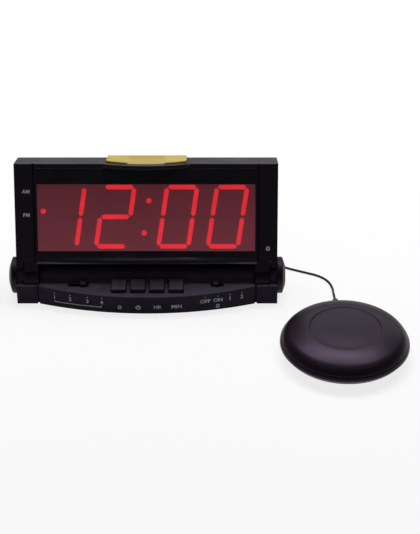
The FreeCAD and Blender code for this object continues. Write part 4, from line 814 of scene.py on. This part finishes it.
class CLOCK_OT_stage(bpy.types.Operator):
    """Lays the white floor and sets the camera, the dim room and the softboxes"""

    bl_idname = "clock.stage"
    bl_label = "Stage"

    def execute(self, context):
        self.camera(context.scene)
        floor = bmesh.new()
        corners = [(-1, -1), (1, -1), (1, 1), (-1, 1)]
        floor.faces.new([floor.verts.new((x * FLOOR_REACH, y * FLOOR_REACH, 0)) for x, y in corners])
        mesh = finished(floor, "floor_sheet")
        mesh.materials.append(room_floor())
        sheet = bpy.data.objects.new("floor_sheet", mesh)
        context.scene.collection.objects.link(sheet)
        context.scene.world = self.room()
        for box in SOFTBOXES:
            self.softbox(context.scene, **box)
        context.scene.view_settings.view_transform = "Standard"
        return {"FINISHED"}

    def camera(self, scene):
        """The photograph's view of the clock."""
        view = bpy.data.cameras.new("camera")
        view.sensor_width = CAMERA_SENSOR
        view.lens = CAMERA_SENSOR * FOCAL_PIXELS / PHOTO_HEIGHT
        view.clip_start = 0.01
        camera = bpy.data.objects.new("camera", view)
        scene.collection.objects.link(camera)
        camera.location = at(*CAMERA_PLACE)
        camera.rotation_euler = (CAMERA_PITCH, 0, 0)
        scene.camera = camera

    def room(self):
        """A dim room, which the camera and clear plastic see as pale as the far paper.

        A mirror sees it so too, but only within three degrees of the horizon.
        """
        world = bpy.data.worlds.new("room")
        world.use_nodes = True
        tree = world.node_tree
        tree.nodes.clear()
        toward = add(tree, "ShaderNodeTexCoord").outputs["Generated"]
        height = add(tree, "ShaderNodeSeparateXYZ", {"Vector": toward}).outputs["Z"]
        low = {"Value": height, "From Min": HORIZON_FULL, "From Max": HORIZON_NONE}
        low.update({"To Min": 1, "To Max": 0})
        low = add(tree, "ShaderNodeMapRange", low).outputs["Result"]
        ray = add(tree, "ShaderNodeLightPath").outputs
        mirror = {0: ray["Is Glossy Ray"], 1: low}
        mirror = add(tree, "ShaderNodeMath", mirror, operation="MULTIPLY").outputs[0]
        seen = {0: ray["Is Camera Ray"], 1: ray["Is Transmission Ray"]}
        seen = add(tree, "ShaderNodeMath", seen, operation="MAXIMUM").outputs[0]
        seen = add(tree, "ShaderNodeMath", {0: seen, 1: mirror}, operation="MAXIMUM").outputs[0]
        pale = {"Value": seen, "To Min": ROOM_STRENGTH, "To Max": colours().floor_lift}
        pale = add(tree, "ShaderNodeMapRange", pale).outputs["Result"]
        wall = add(tree, "ShaderNodeBackground", {"Color": linear("FFFFFF"), "Strength": pale})
        add(tree, "ShaderNodeOutputWorld", {"Surface": wall.outputs[0]})
        return world

    def softbox(self, scene, name, elevation, width, depth, power):
        """A box that shines at the frame's middle and that the camera doesn't see."""
        angle = math.radians(elevation)
        place = Vector((SOFTBOX_X, SOFTBOX_AWAY * math.cos(angle), SOFTBOX_AWAY * math.sin(angle)))
        lamp = bpy.data.lights.new(name, "AREA")
        lamp.shape = "RECTANGLE"
        lamp.size, lamp.size_y = width, depth
        lamp.energy = power
        box = bpy.data.objects.new(name, lamp)
        scene.collection.objects.link(box)
        box.location = place
        box.rotation_euler = place.to_track_quat("Z", "Y").to_euler()
        box.visible_camera = False


class CLOCK_OT_cord(bpy.types.Operator):
    """Lays the shaker's cord, its spare length in a tied coil, and its plug"""

    bl_idname = "clock.cord"
    bl_label = "Shaker cord"

    def execute(self, context):
        points = CORD_ROUTE + coil_points() + TAIL_ROUTE
        curve = bpy.data.curves.new("cord", "CURVE")
        curve.dimensions = "3D"
        curve.bevel_depth = sizes().cord_diameter / 2
        curve.bevel_resolution = 3
        curve.resolution_u = 6
        curve.use_fill_caps = True
        line = curve.splines.new("NURBS")
        line.points.add(len(points) - 1)
        for point, place in zip(line.points, points):
            point.co = (*at(*place), 1)
        line.order_u = 3
        line.use_endpoint_u = True
        curve.materials.append(cord_pvc())
        cord = bpy.data.objects.new("cord", curve)
        context.scene.collection.objects.link(cord)
        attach(cord, "clock_base")
        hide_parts("shaker_cord", "shaker_cord_coil", "shaker_cord_tail")
        dress(plug_vinyl(), "shaker_plug", "coil_tie")
        dress(nickel_plate(), "plug_pin")
        return {"FINISHED"}


class CLOCK_OT_base(bpy.types.Operator):
    """Finishes the base's housing, cover, caps, feet and rear fittings"""

    bl_idname = "clock.base"
    bl_label = "Base"

    def execute(self, context):
        dress(shelf_abs_painted_sheen(), "base_housing", "battery_door", "volume_wheel")
        name = "ABS moulded, coarse grain, black"
        black = textured_abs(name, colours().abs_black, edge=0.5, mirror=0.2)
        dress(black, "base_bottom_cover", "left_pivot_cap", "right_pivot_cap")
        dress(soft_rubber(), "rubber_feet", "power_cord_gland")
        dress(zinc_steel(), "base_screws", "pivot_pins")
        dress(nylon_black(), "lamp_outlet", "shaker_jack")
        return {"FINISHED"}


class CLOCK_OT_works(bpy.types.Operator):
    """Finishes the parts inside the base and the head"""

    bl_idname = "clock.works"
    bl_label = "Inner works"

    def execute(self, context):
        dress(green_board(), "main_circuit_board", "display_board")
        switches = ("key_switches", "slide_switches", "snooze_switch")
        dress(nylon_black(), *switches, "lamp_relay", "battery_contacts")
        dress(varnished_iron(), "mains_transformer_core", "loudspeaker_frame")
        dress(soldered_copper(), "mains_transformer_coil")
        dress(pressed_paper(), "loudspeaker_cone")
        dress(battery_jacket(), "backup_battery")
        dress(nylon_white(), "friction_washers")
        dress(cord_pvc(), "base_cable", "display_cable")
        return {"FINISHED"}


class CLOCK_OT_controls(bpy.types.Operator):
    """Finishes the four buttons and the two slide knobs on the shelf"""

    bl_idname = "clock.controls"
    bl_label = "Shelf controls"

    def execute(self, context):
        keys = satin_abs()
        dress(keys, "alarm_set_button", "clock_set_button", "hour_button", "minute_button")
        dress(keys, "mode_slider", "alarm_slider")
        return {"FINISHED"}


class CLOCK_OT_head(bpy.types.Operator):
    """Finishes the display head's frame, rear cover and polished surround"""

    bl_idname = "clock.head"
    bl_label = "Display head"

    # The surround's lower lip, partly its real lower edge and below it a dark lip
    # hung over the hinge's gap as painted shade: half its width, its heights over
    # the hinge axis, how far its faces are forward of the axis, and its rounded edge
    shade_lip_half = 77.5
    shade_lip_top = 15.5
    shade_lip_low = 10.9
    shade_lip_front = 13.05
    shade_lip_back = 10.7
    shade_lip_turn = 0.12

    def execute(self, context):
        name = "ABS moulded, fine grain, black"
        black = textured_abs(name, colours().abs_black, edge=0.35, mirror=0.16)
        dress(black, "head_front_frame", "head_rear_cover")
        polished = polished_abs()
        dress(polished, "display_bezel")
        dress(zinc_steel(), "head_screws")
        # A dark lip under the surround, painted shade over the hinge's gap
        shade_lip = shown(self.shade_lip(), "surround_shade_lip", polished, "display_head")
        return {"FINISHED"}

    def shade_lip(self):
        """The surround's lower lip: partly its real lower edge, and below it a dark lip that drops past
        the sheet and turns back over the hinge's gap as painted shade.
        """
        turn = self.shade_lip_turn
        section = [(self.shade_lip_back, self.shade_lip_top), (self.shade_lip_front, self.shade_lip_top)]
        section += round_line(self.shade_lip_front - turn, self.shade_lip_low + turn, turn, 0, -90, 6)
        section += [(self.shade_lip_back, self.shade_lip_low)]
        made = bmesh.new()
        sides = (-self.shade_lip_half, self.shade_lip_half)
        left, right = [[made.verts.new(on_head(x, *p)) for p in section] for x in sides]
        for i in range(len(section)):
            j = (i + 1) % len(section)
            made.faces.new([left[i], left[j], right[j], right[i]])
        made.faces.new(left)
        made.faces.new(right)
        bmesh.ops.recalc_face_normals(made, faces=made.faces)
        return finished(made, "surround_shade_lip")


class CLOCK_OT_display(bpy.types.Operator):
    """Finishes the red filter, the digit block and its lit and unlit bars"""

    bl_idname = "clock.display"
    bl_label = "Display"

    def execute(self, context):
        dress(red_acrylic(), "red_filter")
        dress(block_resin(), "led_digit_block")
        dress(glowing_epoxy(), "lit_segments")
        dress(dark_epoxy(), "unlit_segments")
        return {"FINISHED"}


class CLOCK_OT_snooze(bpy.types.Operator):
    """Makes the yellow snooze bar, bowed, rounded and dished where a hand presses it"""

    bl_idname = "clock.snooze"
    bl_label = "Snooze bar"

    # The plan: half its width, its back and its front from the hinge axis, how far
    # the front bows, and the corners' radius
    half = 28.2
    back = -13.5
    front_middle = 13.6
    front_bow = 8.5
    corner = 1.4

    # Over the axis: the underside, the top at its back and its fall to the front,
    # the rim's radius, and the least that stands over the underside
    low = 81.95
    top_back = 84.15
    top_fall = 0.9
    rim = 0.8
    lip = 0.3

    # The dish: half its width, half the width of its sides, how far from the back
    # it starts, how long it takes to reach its depth, and that depth
    dish_half = 12.6
    dish_side = 1.2
    dish_from = 2.5
    dish_fade = 9
    dish_depth = 0.7

    def corner_inset(self, x):
        """How far the rounded corners of the plan draw in at a place along the bar."""
        past = max(0, abs(x) - (self.half - self.corner))
        return self.corner - math.sqrt(max(0, self.corner**2 - past**2))

    def front(self, x):
        """The bowed front edge, furthest forward at the middle."""
        bow = (self.half**2 + self.front_bow**2) / (2 * self.front_bow)
        return self.front_middle - bow + math.sqrt(bow**2 - x * x)

    def top(self, x, forward):
        """Height of the bar's top: it falls to the front, with a rounded rim and a dish."""
        from_back = forward - self.back
        slope = self.top_back - self.top_fall * from_back / (self.front_middle - self.back)
        inset = self.corner_inset(x)
        edge = min(self.half - abs(x), from_back - inset, self.front(x) - inset - forward)
        edge = min(max(edge, 0), self.rim)
        drop = self.rim - math.sqrt(self.rim**2 - (self.rim - edge) ** 2)
        sideways = self.eased((self.dish_half + self.dish_side - abs(x)) / (2 * self.dish_side))
        forwards = self.eased((from_back - self.dish_from) / self.dish_fade)
        return max(slope - drop - self.dish_depth * sideways * forwards, self.low + self.lip)

    def eased(self, share):
        """A share from 0 to 1 that starts and ends gently."""
        share = min(max(share, 0), 1)
        return share * share * (3 - 2 * share)

    def stations(self, low, high, count):
        """Places between two edges, close together where the rim rounds over."""
        rims = [0, 0.04, 0.12, 0.25, 0.45, self.rim]
        inner = [low + self.rim + (high - low - 2 * self.rim) * i / count for i in range(1, count)]
        return [low + r for r in rims] + inner + [high - r for r in reversed(rims)]

    def bar(self):
        """The bar's closed form: its top, its upright sides and its flat underside."""
        made = bmesh.new()
        rows = []
        for x in self.stations(-self.half, self.half, 60):
            inset = self.corner_inset(x)
            row = self.stations(self.back + inset, self.front(x) - inset, 16)
            rows.append([made.verts.new(on_head(x, place, self.top(x, place))) for place in row])
        for a, b in zip(rows, rows[1:]):
            for i in range(len(a) - 1):
                made.faces.new([a[i], a[i + 1], b[i + 1], b[i]])
        # Once round the top's edge, in an order that is the same in each run
        rim = rows[0] + [row[-1] for row in rows[1:-1]]
        rim += rows[-1][::-1] + [row[0] for row in rows[-2:0:-1]]
        up = (on_head(0, 0, 1) - on_head(0, 0, 0)).normalized()
        base = on_head(0, 0, self.low).dot(up)
        lowered = [made.verts.new(v.co - up * (v.co.dot(up) - base)) for v in rim]
        for i in range(len(rim)):
            made.faces.new([rim[i - 1], rim[i], lowered[i], lowered[i - 1]])
        made.faces.new(lowered)
        bmesh.ops.recalc_face_normals(made, faces=made.faces)
        return finished(made, "snooze_bar_cap")

    def execute(self, context):
        bar = shown(self.bar(), "snooze_bar_cap", yellow_abs(), "snooze")
        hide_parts("snooze_bar")
        return {"FINISHED"}


class CLOCK_OT_puck(bpy.types.Operator):
    """Finishes the shaker puck, its motor and its strain relief"""

    bl_idname = "clock.puck"
    bl_label = "Shaker puck"

    # The lid from its middle out, as radius and height: a disc that sags a little
    # to its edge, a soft bead round it, the crown down to the seam, and the inside
    disc_height = 22.3
    disc_sag = 1.35
    disc_steps = (0, 4, 8, 12, 16, 20, 23.6)
    bead = [(24.1, 20.98), (24.35, 21.2), (24.5, 21.42), (24.8, 21.5), (25.2, 21.46)]
    crown = ((25.2, 21.46), (31, 20.35), (36, 18.7))
    flank = ((36, 18.7), (40.4, 16.0), (42.75, 12.7))
    inside = [(42.85, 12.45), (42.6, 12.4), (27, 12.4), (27, 19.3), (0, 19.3)]

    def execute(self, context):
        skin = puck_abs()
        dress(skin, "shaker_bottom_shell")
        disc = self.disc_steps[-1]
        profile = [(r, self.disc_height - self.disc_sag * (r / disc) ** 2) for r in self.disc_steps]
        profile += self.bead
        profile += arc_points(*self.crown, 10)
        profile += arc_points(*self.flank, 14)
        profile += self.inside
        lid = shown(lathe("puck_lid", profile, self.placed), "puck_lid", skin, "clock_base")
        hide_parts("shaker_top_shell")
        dress(soft_rubber(), "shaker_foot_ring", "shaker_strain_relief")
        dress(zinc_steel(), "shaker_screws", "motor_shaft", "motor_can", "motor_clamp")
        dress(turned_brass(), "eccentric_weight")
        return {"FINISHED"}

    def placed(self, x, y, z):
        """A place counted from the middle of the puck."""
        return at(PUCK_X + x, PUCK_Y + y, z)


class CLOCK_OT_legends(bpy.types.Operator):
    """Prints the plain legends: numbers, OFF and ON, and simple signs"""

    bl_idname = "clock.legends"
    bl_label = "Legends"

    # Heights of the upper and the lower row over the floor, how far a tick stands
    # over its word, and the words with their places along the bow
    row = 7.6
    lower = 3.0
    tick_above = 4.3
    tick = [[(0, 0), (0, 0.9)]]
    modes = (("1", -65.3), ("2", -54.1), ("3", -41.8), ("4", -31.6))
    alarms = (("OFF", 41.2), ("ON", 50.2), ("1", 58.6), ("2", 67.0))
    brace = [[(-16.5, 1.6), (-16.5, 0.6), (16.5, 0.6), (16.5, 1.6)]]
    brace_x = -48.5

    def execute(self, context):
        legend_ink()
        tall, small = sizes().legend_height, sizes().side_legend_height
        base, head = "clock_base", "display_head"
        self.switch_words("mode", self.modes)
        stroked("mode_brace", self.brace, self.brace_x, self.lower + 1.6, on_bow, base)
        self.switch_words("alarm", self.alarms)
        bell = self.bell()
        stroked("alarm_bell", bell, 50.0, self.lower - 0.4, on_bow, base)
        stroked("set_bell", bell, -19.0, self.lower + 1.4, on_bow, base)
        stroked("set_dial", self.dial(), -6.0, self.lower + 1.6, on_bow, base)
        inked("hour_word", "HR", 7.6, self.lower + 2.0, tall, on_bow, base)
        inked("minute_word", "MIN", 21.0, self.lower + 2.0, tall, on_bow, base)
        inked("morning_word", "AM", -83.8, 61.6, small, on_strip, head)
        inked("afternoon_word", "PM", -83.8, 44.9, small, on_strip, head)
        stroked("head_bell", bell, 85.2, 20.6, on_strip, head)
        return {"FINISHED"}

    def switch_words(self, switch, words):
        """A slide switch's words, each with a tick over it."""
        tall, above = sizes().legend_height, self.row + self.tick_above
        for word, x in words:
            inked(f"{switch}_{word}", word, x, self.row, tall, on_bow, "clock_base")
            stroked(f"{switch}_tick_{word}", self.tick, x, above, on_bow, "clock_base")

    def bell(self):
        """A bell's outline, its lip and its clapper."""
        dome = [(-1.2, 0.7), (-0.95, 1.2)]
        dome += round_line(0, 1.9, 0.95, 180, 0, 10)
        dome += [(0.95, 1.2), (1.2, 0.7)]
        return [dome, [(-1.4, 0.7), (1.4, 0.7)], [(-0.35, 0.15), (0.35, 0.15)]]

    def dial(self):
        """A clock's dial and its two hands."""
        return [round_line(0, 1.5, 1.5), [(0, 2.5), (0, 1.5), (0.8, 1.1)]]


class CLOCK_PT_panel(bpy.types.Panel):
    """Lists the clock's pieces, colours and sizes"""

    bl_idname = "CLOCK_PT_panel"
    bl_label = "Bed Shaker Alarm Clock"
    bl_space_type = "VIEW_3D"
    bl_region_type = "UI"
    bl_category = "Bed Shaker"

    def draw(self, context):
        for operator in OPERATORS:
            self.layout.operator(operator.bl_idname)
        for group in (context.scene.clock_colours, context.scene.clock_sizes):
            for name in group.__annotations__:
                self.layout.prop(group, name)


OPERATORS = (
    CLOCK_OT_stage,
    CLOCK_OT_cord,
    CLOCK_OT_base,
    CLOCK_OT_works,
    CLOCK_OT_controls,
    CLOCK_OT_head,
    CLOCK_OT_display,
    CLOCK_OT_snooze,
    CLOCK_OT_puck,
    CLOCK_OT_legends,
)
CLASSES = (ClockColours, ClockSizes, *OPERATORS, CLOCK_PT_panel)


def register():
    for item in CLASSES:
        bpy.utils.register_class(item)
    bpy.types.Scene.clock_colours = bpy.props.PointerProperty(type=ClockColours)
    bpy.types.Scene.clock_sizes = bpy.props.PointerProperty(type=ClockSizes)


def unregister():
    del bpy.types.Scene.clock_sizes
    del bpy.types.Scene.clock_colours
    for item in reversed(CLASSES):
        bpy.utils.unregister_class(item)


def main():
    register()
    for operator in OPERATORS:
        group, name = operator.bl_idname.split(".")
        getattr(getattr(bpy.ops, group), name)()


if __name__ == "__main__":
    main()
